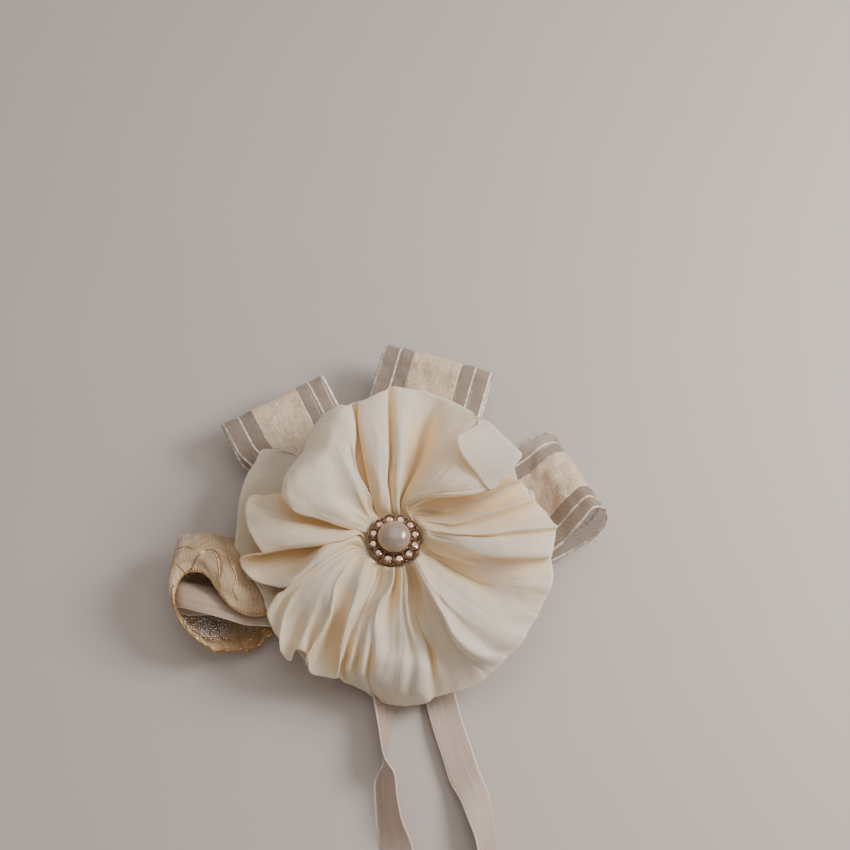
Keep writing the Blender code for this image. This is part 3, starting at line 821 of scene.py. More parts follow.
LACE_GRID, LACE_LENGTH = loop_grid(LACE_ROOT, LACE_AXIS, LACE_RUN, RIBBON_WIDTH, NO_ROLL,
                                   SCALLOP_DEPTH, LACE_CRINKLE, 43, stand_lace)
make_loop("lace_loop", LACE, LACE_GRID, LACE_LENGTH, RIBBON_WIDTH)


# Gold threads and silver beads on the lace
LACE_TREE = BVHTree.FromPolygons([point for row in LACE_GRID for point in row],
                                 grid_faces(len(LACE_GRID), len(LACE_GRID[0])))
THREAD_LIFT = 0.24
THREAD_STEPS = 260
EDGE_CORD_RADIUS, EDGE_CORD_WAVE, EDGE_CORD_TURN = 0.15, 0.08, 0.9
SCROLL_RADIUS = 0.08
SCROLL_END = 0.53
SCROLL_BACKING = 0.012
# Each scroll's middle and reach as shares of the width, its number of turns and its phase
SCROLLS = ((0.5, 0.13, 13, 1.1), (0.86, 0.07, 17, 2.4))
ARCH_RADIUS = 0.12
ARCH_STEPS = 6
# The arches' knots are pixels of the photograph
ARCHES = (
    ((192, 570), (194, 563), (199, 555), (205, 551), (211, 550), (216, 552), (220, 558),
     (222, 567), (221, 577)),
    ((213, 552), (217, 559), (219, 568), (219, 578), (222, 586)),
    ((176, 563), (180, 567), (184, 571), (188, 573), (191, 568)),
    ((227, 556), (232, 566), (236, 578), (233, 590), (238, 600)),
    ((178, 549), (186, 547), (193, 549), (199, 546), (208, 541)),
)
LACE_SHOWS_FROM = 30
FRINGE_STEP, FRINGE_END = 0.5, 0.56
FRINGE_LENGTHS, FRINGE_DRIFT = (0.5, 1.1), 0.16
FRINGE_ROOT_RADIUS, FRINGE_TAPER = 0.085, 0.035
FRINGE_LIFTS, FRINGE_SAGS = (0.2, 0.12), (0.1, 0.35)
# The patch of the photograph, in pixels, where the beads are thickest
GLITTER_LEFT, GLITTER_TOP, GLITTER_RIGHT, GLITTER_BOTTOM = 180, 598, 228, 640
GLITTER_BEADS, GLITTER_RADII = 420, (0.12, 0.28)
SPARSE_BEADS, SPARSE_RADII, SPARSE_LIFT = 200, (0.08, 0.15), 0.22
SPARSE_ROWS, SPARSE_COLUMNS = (0.22, 0.8), (0.08, 0.94)
BEAD_SIDES, BEAD_RINGS = 6, 4


def on_lace(row, column):
    """A point on the lace and its normal, with row and column as shares from 0 to 1."""
    grid = LACE_GRID
    r, c = row * (len(grid) - 1), column * (len(grid[0]) - 1)
    i, j = min(int(r), len(grid) - 2), min(int(c), len(grid[0]) - 2)
    u, v = r - i, c - j
    low = grid[i][j].lerp(grid[i][j + 1], v)
    high = grid[i + 1][j].lerp(grid[i + 1][j + 1], v)
    across = grid[i][j + 1] - grid[i][j]
    return low.lerp(high, u), (high - low).cross(across).normalized()


def seen_on_lace(px, py):
    """The place just above the lace that shows at that pixel, or None."""
    hit, normal = LACE_TREE.ray_cast(CAMERA_PLACE / MM, pixel_ray(px, py))[:2]
    if hit is None:
        return None
    return hit + normal * (THREAD_LIFT if normal.z > 0 else -THREAD_LIFT)


def add_edge_cord(data, column):
    path = []
    for k in range(THREAD_STEPS + 1):
        point, normal = on_lace(k / THREAD_STEPS, column)
        path.append(point + normal * EDGE_CORD_WAVE * math.sin(k * EDGE_CORD_TURN))
    add_tube(data, path, EDGE_CORD_RADIUS, 8)


def add_scroll(data, middle, reach, turns, phase, face):
    path = []
    for k in range(THREAD_STEPS + 1):
        along = SCROLL_END * k / THREAD_STEPS
        swing = math.sin(2 * math.pi * turns * along + phase + face)
        back = SCROLL_BACKING * math.sin(4 * math.pi * turns * along + phase)
        point, normal = on_lace(min(max(along + back, 0), 1), middle + reach * swing)
        path.append(point + normal * THREAD_LIFT * face)
    add_tube(data, path, SCROLL_RADIUS, 5)


def add_fringe(data):
    """Short hairs of gold thread along the near edge, where the lace is clear of the bloom."""
    picks = np.random.default_rng(5)
    count = round(LACE_LENGTH / FRINGE_STEP)
    for k in range(count):
        along = (k + 0.5) / count
        edge, normal = on_lace(along, 1.0)
        inner = on_lace(along, 0.9)[0]
        if math.hypot(edge.x, edge.y) < LACE_SHOWS_FROM or along > FRINGE_END:
            continue
        way = (edge - inner).normalized()
        drift = Vector(picks.normal(0, FRINGE_DRIFT, 3))
        length = picks.uniform(*FRINGE_LENGTHS)
        path = [inner.lerp(edge, -0.3) + normal * FRINGE_LIFTS[0],
                edge + normal * FRINGE_LIFTS[1],
                edge + (way + drift) * length * 0.6 - UP * FRINGE_SAGS[0],
                edge + (way + drift * 1.6) * length - UP * FRINGE_SAGS[1]]
        add_tube(data, path, lambda share: FRINGE_ROOT_RADIUS - FRINGE_TAPER * share, 5)


def make_lace_threads():
    """Gold cords along both lace edges, scrolling threads on it and a fringe at its rim."""
    data = ([], [])
    add_edge_cord(data, 0.0)
    add_edge_cord(data, 1.0)
    for scroll in SCROLLS:
        add_scroll(data, *scroll, 1)
        add_scroll(data, *scroll, -1)
    for arch in ARCHES:
        steps = ARCH_STEPS * (len(arch) - 1)
        spots = [seen_on_lace(*curve_point(arch, k / ARCH_STEPS)) for k in range(steps + 1)]
        add_tube(data, [spot for spot in spots if spot is not None], ARCH_RADIUS, 6)
    add_fringe(data)
    mesh_piece("lace_gold_threads", data, GOLD_THREAD)


def make_lace_glitter():
    """Small silvery beads sewn to the lace, thickest on its near side."""
    data = ([], [])
    picks = np.random.default_rng(8)
    for _ in range(GLITTER_BEADS):
        spot = seen_on_lace(picks.uniform(GLITTER_LEFT, GLITTER_RIGHT),
                            picks.uniform(GLITTER_TOP, GLITTER_BOTTOM))
        if spot is not None:
            add_bead(data, spot, picks.uniform(*GLITTER_RADII), BEAD_SIDES, BEAD_RINGS)
    for _ in range(SPARSE_BEADS):
        point, normal = on_lace(picks.uniform(*SPARSE_ROWS), picks.uniform(*SPARSE_COLUMNS))
        if math.hypot(point.x, point.y) > LACE_SHOWS_FROM:
            face = 1 if picks.random() < 0.5 else -1
            add_bead(data, point + normal * SPARSE_LIFT * face, picks.uniform(*SPARSE_RADII),
                     BEAD_SIDES, BEAD_RINGS)
    mesh_piece("lace_silver_beads", data, SILVER)


make_lace_threads()
make_lace_glitter()


# Felt backing
BACKING_SIDES = 160
BACKING_PROFILE = ((1.0, 0.0), (17.3, 0.0), (17.85, 0.12), (18.0, 0.5), (18.0, 1.0),
                   (17.85, 1.38), (17.3, 1.5), (1.0, 1.5))
BACKING_WOBBLE, WOBBLES = 0.12, 9
WOBBLE_FROM_RADIUS = 2


def make_felt():
    data = ([], [])
    add_turned(data, BACKING_PROFILE, BACKING_SIDES)
    for point in data[0]:
        spot = Vector((point.x, point.y, 0))
        if spot.length > WOBBLE_FROM_RADIUS:
            spot.normalize()
            point += spot * BACKING_WOBBLE * (noise.noise(spot * WOBBLES) - 1)
    piece = mesh_piece("felt_backing_disc", data, wool_felt())
    stand_in(piece, "felt_backing")


make_felt()


# Brooch: profiles are (radius, height over the seat)
BROOCH_SEAT = 13.3
STONE_COUNT = 12
STONE_FIRST_ANGLE = 13.5
STONE_RING = 4.72
PEARL_KNOTS = ((0.02, 1.7), (2.9, 1.7), (3.45, 2.3), (3.6, 3.0), (3.45, 3.75), (3.05, 4.45),
               (2.4, 5.0), (1.55, 5.35), (0.75, 5.48), (0.02, 5.5))
PEARL_RINGS, PEARL_SIDES = 48, 72
PLATE_KNOTS = ((0.02, 0), (5.0, 0), (5.2, 0.15), (5.2, 0.5), (5.0, 0.7), (3.5, 0.7),
               (3.35, 1.0), (3.35, 1.9), (3.15, 2.0), (3.0, 1.6), (0.02, 1.6))
PLATE_SIDES = 96
CUP_KNOTS = ((0.3, 0.1), (0.95, 0.1), (1.16, 0.3), (1.25, 0.7), (1.28, 1.35), (1.22, 1.47),
             (1.08, 1.44), (1.02, 1.2), (0.98, 0.82), (0.3, 0.8))
CUP_SIDES = 28
PRONG_KNOTS = ((1.2, 0.7), (1.2, 1.3), (1.08, 1.58), (0.84, 1.66))
PRONG_RADIUS, PRONG_TAPER = 0.17, 0.05
# Beads between the cups: distance from the middle, height and radius
CUP_BEADS = ((5.62, 0.95, 0.36), (3.86, 1.7, 0.26))
ROPE_RADIUS, ROPE_HEIGHT, ROPE_TURNS, ROPE_STEPS = 3.62, 2.02, 26, 240
STRAND_RADIUS, STRAND_OFFSET = 0.14, 0.13


def stone_angle(number):
    return math.radians(STONE_FIRST_ANGLE + 360 * number / STONE_COUNT)


def add_cup(data, number):
    """One cup with its four prongs, and the two beads beside it."""
    angle = stone_angle(number)
    centre = polar(angle, STONE_RING, BROOCH_SEAT)
    add_turned(data, CUP_KNOTS, CUP_SIDES, centre, math.degrees(angle))
    for quarter in range(4):
        turn = angle + math.pi / 4 + quarter * math.pi / 2
        path = [centre + polar(turn, radius, height) for radius, height in PRONG_KNOTS]
        add_tube(data, path, lambda share: PRONG_RADIUS - PRONG_TAPER * share, 6)
    for distance, height, radius in CUP_BEADS:
        add_bead(data, polar(angle + math.pi / STONE_COUNT, distance, BROOCH_SEAT + height),
                 radius)


def make_setting():
    """The plate with its cups, and a twisted rope of two strands round the pearl."""
    data = ([], [])
    add_turned(data, PLATE_KNOTS, PLATE_SIDES, (0, 0, BROOCH_SEAT))
    for number in range(STONE_COUNT):
        add_cup(data, number)
    for strand in (0, 1):
        path = []
        for k in range(ROPE_STEPS):
            angle = 2 * math.pi * k / ROPE_STEPS
            spin = angle * ROPE_TURNS + strand * math.pi
            path.append(polar(angle, ROPE_RADIUS + STRAND_OFFSET * math.cos(spin),
                              BROOCH_SEAT + ROPE_HEIGHT + STRAND_OFFSET * math.sin(spin)))
        add_tube(data, path, STRAND_RADIUS, 6, closed=True)
    stand_in(mesh_piece("brooch_setting_fine", data, GOLD), "brooch_setting")


def make_pearl():
    dense, walked = sample_curve(PEARL_KNOTS, 2)
    profile = []
    for k in range(PEARL_RINGS + 1):
        radius, height = at_length(dense, walked, walked[-1] * k / PEARL_RINGS)
        profile.append((max(radius, POLE_RADIUS), height))
    data = ([], [])
    add_turned(data, profile, PEARL_SIDES, (0, 0, BROOCH_SEAT))
    stand_in(mesh_piece("pearl_cabochon", data, nacre()), "pearl")


STONE_TABLE_SIDES = 8
STONE_SIDES = 2 * STONE_TABLE_SIDES
# The stone's rings of corners: radius, height, number of corners, turn in corner widths
STONE_BASE, STONE_GIRDLE_LOW = (0.55, 0.97, STONE_SIDES, 0), (0.93, 1.18, STONE_SIDES, 0)
STONE_GIRDLE, STONE_KITES = (0.93, 1.26, STONE_SIDES, 0), (0.76, 1.48, STONE_TABLE_SIDES, 0.5)
STONE_TABLE = (0.52, 1.64, STONE_TABLE_SIDES, 0)


def make_stone(number, material):
    """A round stone with an eight-sided table, eight kites and sixteen girdle facets."""
    angle = stone_angle(number)
    centre = polar(angle, STONE_RING, BROOCH_SEAT)
    points, faces = [], []

    def ring(radius, height, count, shift):
        first = len(points)
        for k in range(count):
            points.append(centre + polar(angle + 2 * math.pi * (k + shift) / count, radius,
                                         height))
        return first

    base = ring(*STONE_BASE)
    ring(*STONE_GIRDLE_LOW)
    girdle = ring(*STONE_GIRDLE)
    kite = ring(*STONE_KITES)
    table = ring(*STONE_TABLE)
    faces.append(tuple(base + k for k in reversed(range(STONE_SIDES))))
    faces += ring_faces(base, 3, STONE_SIDES)
    for k in range(STONE_TABLE_SIDES):
        n = (k + 1) % STONE_TABLE_SIDES
        a, b, c = girdle + 2 * k, girdle + 2 * k + 1, girdle + (2 * k + 2) % STONE_SIDES
        faces += [(a, b, kite + k), (b, c, kite + k), (a, kite + k, table + k),
                  (table + k, kite + k, table + n), (kite + k, c, table + n)]
    faces.append(tuple(table + k for k in range(STONE_TABLE_SIDES)))
    label = f"{number + 1:02d}"
    piece = mesh_piece(f"stone_{label}", (points, faces), material, smooth=False)
    stand_in(piece, f"rhinestone_{label}")


make_setting()
make_pearl()
CRYSTAL = crystal()
for stone_number in range(STONE_COUNT):
    make_stone(stone_number, CRYSTAL)


# Bloom
BLOOM_RINGS = 68
BLOOM_STEP, LEAST_STEPS, MOST_STEPS = 0.62, 3, 14
BLOOM_THICKNESS = 0.18
BLOOM_UV_RADIUS = 26.0
LAYER_GAP = 0.5
SPOKE_SAMPLES = 12
RELIEF_MIDDLE = 15.4
RIDGE_GAIN, VALLEY_GAIN = 1.08, 1.1
# The gathered neck of each layer: radius and height
UPPER_HUB = ((4.3, 10.0), (4.6, 12.4), (5.2, 12.85), (5.9, 12.9))
LOWER_HUB = ((4.2, 1.9), (4.3, 6.0), (4.9, 8.6), (6.6, 9.2), (9.0, 9.6))
# The turned-over flap's spokes, the knot where each folds back, and the rings' share before it
FLAP_ANGLES = (66, 64, 62, 58, 54, 50, 47, 45, 43, 41)
FLAP_KNOT = 6
FLAP_SHARE = 0.76

# A spoke is its angle at the gather and the (x, y, height) that it passes through, with x and y
# read off the crop. They go clockwise from the crease above the brooch
UPPER = (
    (94, (762, 600, 13.8), (757, 545, 15), (741, 470, 16.3), (748, 330, 18.2), (744, 200, 19.8),
     (743, 100, 20.6), (742, 34, 21)),
    (90, (772, 600, 14.6), (770, 540, 16.2), (760, 470, 18), (768, 330, 20.3), (764, 200, 21.6),
     (764, 100, 22), (766, 30, 21.8)),
    (86, (785, 600, 14.6), (786, 530, 16.4), (790, 460, 18.4), (800, 330, 20.6), (806, 200, 22),
     (812, 100, 22.3), (818, 36, 21.9)),
    (80, (798, 590, 13.8), (806, 530, 14.4), (824, 460, 15), (845, 350, 16.2), (866, 230, 18.4),
     (882, 130, 20.6), (895, 48, 21.4)),
    (74, (806, 585, 13.3), (822, 520, 13.2), (850, 440, 12.8), (880, 350, 13.2), (915, 240, 15.6),
     (945, 140, 19), (970, 75, 21)),
    (70, (812, 580, 13.5), (842, 505, 14.6), (885, 430, 16.2), (930, 340, 17.8), (980, 240, 19.8),
     (1026, 150, 21.3), (1055, 108, 21.6)),
    (66, (815, 575, 14.4), (868, 500, 17), (935, 430, 19.2), (1005, 340, 20.8), (1065, 260, 22),
     (1147, 173, 22.4), (1150, 169, 22.7), (1146, 173, 22.9)),
    (64, (816, 574, 14.8), (879, 501, 17.7), (952, 435, 19.9), (1032, 345, 21.5), (1110, 262, 22.2),
     (1192, 194, 22.3), (1195, 190, 22.7), (1174, 196, 23), (1144, 206, 23.4)),
    (62, (818, 572, 15.2), (890, 502, 18.4), (970, 440, 20.6), (1060, 350, 22.1), (1140, 268, 22.2),
     (1220, 217, 22.1), (1223, 212, 22.6), (1170, 218, 23.3), (1098, 232, 24)),
    (58, (820, 570, 15.4), (905, 505, 18.8), (1000, 450, 21), (1100, 370, 22), (1180, 302, 22),
     (1262, 258, 21.9), (1265, 252, 22.4), (1200, 246, 23.2), (1120, 246, 24), (1054, 262, 24.4)),
    (54, (822, 570, 15.4), (915, 510, 18.8), (1020, 470, 21), (1120, 410, 22), (1215, 350, 21.9),
     (1310, 304, 21.7), (1313, 298, 22.2), (1240, 302, 23), (1150, 310, 23.9), (1070, 330, 24.3)),
    (50, (824, 570, 15.4), (925, 515, 18.6), (1040, 488, 20.6), (1150, 450, 21.5), (1255, 392, 21.5),
     (1344, 346, 21.4), (1348, 340, 21.9), (1280, 350, 22.6), (1190, 362, 23.2), (1108, 384, 23.3)),
    (47, (825, 570, 15.4), (929, 517, 18.5), (1046, 495, 20.5), (1152, 472, 21.3), (1245, 424, 21.4),
     (1322, 382, 21.3), (1326, 377, 21.8), (1280, 390, 22.2), (1215, 406, 22.4), (1142, 426, 22.4)),
    (45, (827, 571, 15.3), (930, 519, 18.3), (1050, 502, 20.3), (1142, 488, 21.1), (1222, 460, 21.2),
     (1294, 416, 21.2), (1297, 412, 21.6), (1262, 424, 21.8), (1215, 440, 21.9), (1166, 458, 21.8)),
    (43, (828, 572, 15.2), (930, 520, 18.2), (1050, 508, 20.2), (1130, 500, 21), (1196, 482, 21.1),
     (1256, 452, 21), (1259, 448, 21.3), (1236, 458, 21.5), (1184, 480, 21.5)),
    (41, (830, 575, 14.6), (880, 523, 17.2), (960, 520, 19.4), (1050, 518, 20.6), (1130, 515, 20.9),
     (1216, 494, 20.8), (1219, 491, 21.1), (1203, 497, 21.2)),
    (38, (835, 582, 14), (885, 535, 15.8), (960, 530, 17.6), (1050, 522, 18.6), (1130, 512, 19.2),
     (1190, 495, 19.4)),
    (34, (842, 590, 13.8), (900, 545, 15), (980, 510, 16.4), (1060, 480, 17), (1140, 455, 17.2),
     (1210, 440, 17.2)),
    (30, (850, 600, 13.6), (910, 560, 14), (990, 530, 14.8), (1070, 505, 15.4), (1160, 480, 16.2),
     (1290, 440, 16.4)),
    (27.2, (858, 611, 13.7), (924, 588, 14.1), (1011, 572, 14.9), (1098, 544, 16.2), (1188, 515, 17.5),
     (1325, 451, 17.5)),
    (26, (862, 615, 13.8), (930, 600, 14.5), (1020, 590, 15.6), (1110, 560, 17.8), (1200, 530, 19.5),
     (1342, 455, 19.2)),
    (24.8, (863, 618, 13.7), (934, 606, 14.1), (1023, 598, 14.8), (1114, 567, 16.2), (1205, 537, 17.3),
     (1346, 466, 17.2)),
    (23, (866, 625, 13.7), (942, 620, 13.9), (1030, 616, 14.4), (1122, 584, 15.4), (1215, 552, 16),
     (1368, 492, 16)),
    (20.2, (869, 636, 13.7), (949, 637, 14.1), (1038, 641, 14.8), (1131, 615, 16), (1229, 583, 16.9),
     (1386, 526, 16.8)),
    (19, (870, 640, 13.9), (952, 645, 14.8), (1042, 652, 16.2), (1135, 628, 17.6), (1235, 596, 18.9),
     (1406, 540, 18.7)),
    (17.8, (872, 645, 13.9), (954, 652, 14.6), (1044, 661, 15.4), (1139, 640, 16.4), (1248, 609, 17.1),
     (1412, 555, 16.9)),
    (15, (878, 658, 14.2), (960, 668, 15), (1050, 682, 15.6), (1150, 670, 16), (1280, 640, 16.2),
     (1450, 592, 15.8)),
    (11.4, (883, 674, 14.6), (967, 684, 16.3), (1072, 695, 17.3), (1186, 690, 17.8), (1330, 670, 18),
     (1490, 645, 17.4)),
    (10, (885, 680, 14.8), (970, 690, 17), (1080, 700, 18.7), (1200, 698, 19.6), (1350, 680, 19.8),
     (1512, 665, 19.2)),
    (8.4, (887, 684, 14.9), (972, 695, 16.9), (1084, 708, 17.9), (1204, 712, 18.5), (1352, 698, 18.6),
     (1504, 680, 18)),
    (4, (892, 700, 15), (980, 712, 17.2), (1100, 730, 18.8), (1220, 745, 19.6), (1360, 745, 19.6),
     (1500, 722, 18.8)),
    (0, (894, 712, 14.8), (978, 735, 16.8), (1090, 770, 18.4), (1210, 800, 19.2), (1340, 806, 19),
     (1485, 804, 18.4)),
    (-2, (893, 718, 14.4), (974, 745, 15.8), (1088, 784, 16.6), (1210, 800, 16.6), (1340, 806, 16.6),
     (1480, 808, 16.2)),
    (-7, (890, 735, 13.6), (965, 775, 14), (1080, 812, 14.6), (1200, 836, 15.4), (1340, 860, 16.2),
     (1490, 870, 16.2)),
    (-15, (885, 750, 13.2), (948, 795, 12.8), (1050, 845, 12.8), (1180, 890, 14.2), (1330, 920, 17),
     (1485, 935, 16.8)),
    (-21, (877, 763, 13), (935, 808, 12.4), (1020, 862, 12.2), (1145, 935, 13), (1260, 985, 15.6),
     (1440, 1030, 15)),
    (-25, (872, 772, 13.4), (928, 822, 14), (1010, 885, 14.6), (1130, 965, 15.6), (1270, 1035, 15.8),
     (1420, 1075, 14.2)),
    (-30, (868, 782, 14.2), (920, 845, 16), (995, 930, 17), (1100, 1005, 17.2), (1235, 1080, 16.2),
     (1390, 1125, 13.6)),
    (-36, (860, 792, 15), (900, 866, 17.8), (965, 960, 18.8), (1055, 1050, 18.2), (1165, 1125, 17),
     (1270, 1180, 15), (1350, 1192, 12.6)),
    (-39, (856, 797, 15.1), (892, 867, 17.8), (948, 958, 18.6), (1030, 1056, 17.8), (1112, 1152, 16.4),
     (1210, 1222, 14.4), (1310, 1236, 11.8)),
    (-42, (852, 802, 15.2), (884, 868, 17.6), (930, 955, 18.4), (992, 1066, 19.4), (1052, 1176, 18.4),
     (1160, 1255, 15.2), (1268, 1278, 11.4)),
    (-44, (850, 804, 15), (880, 868, 17.2), (922, 955, 17.8), (990, 1080, 16.6), (1046, 1196, 15.2),
     (1130, 1270, 13.8), (1246, 1300, 10.8)),
    (-49, (842, 810, 14.6), (870, 870, 16), (906, 955, 16.4), (950, 1045, 16), (1000, 1140, 15.2),
     (1075, 1240, 14), (1205, 1332, 10)),
    (-53, (834, 816, 13.8), (860, 882, 14), (886, 960, 14.2), (914, 1048, 14.2), (950, 1130, 14),
     (1020, 1250, 12.8), (1150, 1376, 8.6)),
    (-57, (828, 819, 13.3), (850, 886, 13), (872, 965, 13), (892, 1050, 13.2), (922, 1130, 13.6),
     (985, 1260, 12.4), (1080, 1412, 7.6)),
    (-60, (822, 822, 13.2), (842, 890, 12.8), (858, 970, 12.8), (874, 1050, 13), (900, 1130, 13.6),
     (950, 1235, 13.4), (970, 1330, 11), (985, 1438, 6.6)),
    (-63, (816, 824, 13.2), (833, 890, 12.8), (845, 970, 12.8), (858, 1050, 13), (885, 1130, 13),
     (930, 1225, 11.8), (945, 1320, 10.4), (950, 1448, 6.2)),
    (-66, (812, 826, 13.4), (826, 890, 13.6), (832, 970, 13.8), (838, 1050, 14), (856, 1130, 13.6),
     (905, 1215, 13.4), (920, 1310, 14), (908, 1405, 11.2), (922, 1462, 6.2)),
    (-69, (806, 828, 14.4), (818, 880, 15.4), (822, 940, 15.8), (825, 1020, 15.8), (838, 1110, 15),
     (868, 1205, 13.8), (886, 1300, 14.9), (874, 1410, 11.9), (888, 1472, 6)),
    (-71, (803, 828, 14.5), (811, 880, 15.3), (814, 940, 15.6), (813, 1020, 15.5), (820, 1110, 14.6),
     (842, 1205, 13.2), (854, 1305, 14.2), (842, 1415, 10.9), (858, 1476, 5.8)),
    (-74, (798, 828, 14.6), (803, 880, 15.4), (801, 940, 15.6), (798, 1020, 15.3), (800, 1110, 14.8),
     (812, 1200, 13.9), (812, 1295, 14.9), (802, 1410, 11.9), (822, 1482, 5.6)),
    (-79, (788, 830, 13.8), (788, 890, 14.2), (782, 960, 14.4), (772, 1040, 14.3), (770, 1120, 14),
     (776, 1206, 13.2), (766, 1300, 14.1), (752, 1415, 11), (766, 1476, 5.2)),
    (-84, (776, 832, 13.2), (772, 890, 13.2), (760, 950, 13.4), (738, 1030, 13.6), (728, 1110, 13.8),
     (735, 1200, 13.6), (724, 1280, 14.2), (708, 1370, 12.4), (712, 1430, 8.6), (716, 1468, 5.2)),
    (-88, (763, 832, 15.2), (768, 884, 16.8), (752, 942, 17.4), (716, 990, 17.8), (694, 1036, 17.4),
     (686, 1112, 16.4), (684, 1200, 14.9), (678, 1285, 13.9), (668, 1352, 12.2), (684, 1410, 8.8),
     (700, 1456, 5)),
    (-90.5, (754, 832, 15), (753, 882, 16), (737, 936, 16.8), (700, 995, 17.2), (674, 1065, 16.6),
     (666, 1130, 15.6), (664, 1215, 13.4), (654, 1285, 11.4), (648, 1345, 10), (660, 1395, 7.6),
     (680, 1440, 4.6)),
    (-93, (745, 832, 14.8), (738, 880, 15.4), (722, 930, 16.2), (684, 1000, 16.8), (650, 1100, 15.8),
     (640, 1205, 14.4), (630, 1270, 13.6), (620, 1322, 12.2), (634, 1380, 8.8), (660, 1430, 5.2)),
    (-96.5, (730, 831, 14.3), (720, 873, 14.4), (706, 922, 15), (665, 1005, 15.6), (628, 1105, 15.2),
     (612, 1205, 13), (600, 1280, 10.8), (592, 1335, 9.4), (606, 1378, 7), (632, 1412, 4.6)),
    (-100, (715, 830, 14), (702, 866, 13.6), (690, 915, 14.4), (645, 1010, 15.8), (604, 1105, 15.4),
     (584, 1200, 14), (570, 1265, 13), (556, 1318, 11.4), (572, 1364, 8.2), (606, 1400, 5.2)),
    (-103.5, (702, 831, 13.7), (685, 864, 13.6), (675, 910, 14.6), (635, 1000, 15.4), (594, 1098, 15),
     (564, 1200, 13), (548, 1268, 10.8), (536, 1320, 9.2), (548, 1356, 7), (574, 1388, 5.4)),
    (-107, (690, 832, 13.5), (668, 862, 13.8), (660, 905, 14.6), (625, 990, 15.4), (586, 1090, 15.4),
     (550, 1195, 14.2), (532, 1255, 13), (518, 1304, 11.2), (526, 1344, 8.6), (546, 1376, 6)),
    (-110, (674, 824, 14.6), (652, 850, 16), (642, 885, 16.6), (608, 980, 17), (572, 1080, 16.6),
     (545, 1170, 15.2), (528, 1240, 13.6), (518, 1300, 11.6), (520, 1352, 8.8)),
    (-112, (668, 818, 14.8), (642, 852, 16.4), (630, 888, 16.9), (598, 980, 17.2), (562, 1076, 17),
     (538, 1165, 16), (522, 1240, 14.6), (512, 1322, 12.2)),
    (-116, (655, 812, 15), (615, 880, 16.8), (585, 980, 17), (554, 1077, 16.6), (532, 1160, 15.2),
     (516, 1240, 13.4), (506, 1324, 11.4)),
    (-119, (640, 806, 15), (590, 870, 16.4), (555, 960, 16.2), (540, 1050, 14.8), (534, 1140, 12.6),
     (526, 1250, 11), (506, 1356, 9.8)),
    (-122, (625, 800, 15), (570, 860, 16.4), (530, 940, 16.2), (512, 1035, 14.8), (500, 1120, 12.6),
     (475, 1230, 11), (452, 1348, 9.8)),
    (-124, (619, 797, 15), (562, 852, 16.6), (520, 925, 16.8), (498, 1015, 16), (484, 1100, 14.2),
     (440, 1215, 12.2), (390, 1334, 10.4)),
    (-125, (615, 795, 15), (555, 845, 16.8), (510, 910, 17.4), (490, 1000, 17.2), (476, 1068, 16.8),
     (425, 1165, 15.8), (371, 1257, 14.6)),
    (-126, (612, 792, 15), (548, 838, 16.8), (500, 902, 17.2), (470, 985, 17), (452, 1060, 16),
     (408, 1170, 14), (368, 1298, 12.2)),
    (-127.5, (609, 789, 15), (544, 832, 16.8), (490, 896, 17.2), (450, 978, 16.8), (428, 1058, 15.6),
     (392, 1160, 13.8), (374, 1256, 13.2)),
    (-129, (605, 785, 15), (540, 825, 16.8), (480, 890, 17.2), (430, 970, 16.8), (402, 1055, 15.8),
     (368, 1140, 15), (341, 1227, 14.4)),
    (-130.5, (603, 781, 15), (535, 820, 16.8), (473, 882, 17.2), (415, 960, 16.7), (380, 1046, 15.4),
     (345, 1132, 14.2), (312, 1232, 13.4)),
    (-132, (601, 777, 15), (530, 815, 16.8), (465, 875, 17.2), (400, 950, 16.6), (352, 1040, 14.8),
     (316, 1140, 12.8), (292, 1276, 11.6)),
    (-134, (600, 770, 15), (520, 805, 16.8), (450, 860, 17.2), (380, 930, 16.6), (320, 1020, 15),
     (280, 1118, 13.4), (257, 1238, 12.4)),
    (-136.5, (600, 765, 15), (516, 796, 16.9), (440, 850, 17.3), (368, 914, 16.7), (302, 998, 15.6),
     (264, 1092, 14.8), (249, 1182, 14.2)),
    (-139, (600, 760, 15), (513, 788, 17), (436, 838, 17.4), (360, 898, 16.8), (288, 980, 15.2),
     (240, 1065, 13.4), (221, 1140, 12.6)),
    (-142, (600, 755, 15), (510, 780, 17), (430, 825, 17.4), (350, 880, 16.8), (270, 960, 15.6),
     (215, 1030, 14.4), (191, 1052, 14)),
    (-148, (600, 738, 15.4), (515, 765, 17.2), (440, 812, 17.8), (375, 858, 17.8), (318, 905, 17.2),
     (285, 940, 16)),
    (-152, (602, 732, 15.4), (525, 748, 17), (470, 765, 17.8), (420, 812, 18), (352, 863, 17.6),
     (290, 912, 16.8), (240, 942, 15.4)),
    (-154, (605, 724, 14.8), (530, 742, 15.6), (465, 758, 16), (405, 800, 15.4), (330, 850, 14.6),
     (260, 895, 14.2), (195, 932, 13.8)),
    (-157, (610, 714, 13.9), (530, 732, 14), (455, 752, 13.8), (370, 788, 13.2), (270, 835, 12.8),
     (190, 870, 12.8), (128, 905, 13.2)),
    (-161, (618, 706, 13.7), (535, 720, 13.7), (450, 742, 13.5), (360, 766, 12.9), (270, 798, 12.4),
     (180, 828, 12.4), (82, 860, 12.8)),
    (-164, (620, 700, 13.8), (535, 714, 13.6), (450, 734, 13.2), (360, 752, 12.6), (270, 772, 12),
     (170, 790, 11.8), (68, 812, 12.4)),
    (-165.5, (617, 700, 14.4), (533, 720, 14.8), (442, 741, 15), (365, 754, 15.2), (288, 766, 14.8),
     (200, 780, 14.4), (112, 792, 14.4)),
    (-167, (615, 700, 15), (530, 730, 16.6), (432, 750, 17.4), (370, 755, 17.6), (305, 759, 17.6),
     (230, 772, 17.2), (168, 788, 16.8)),
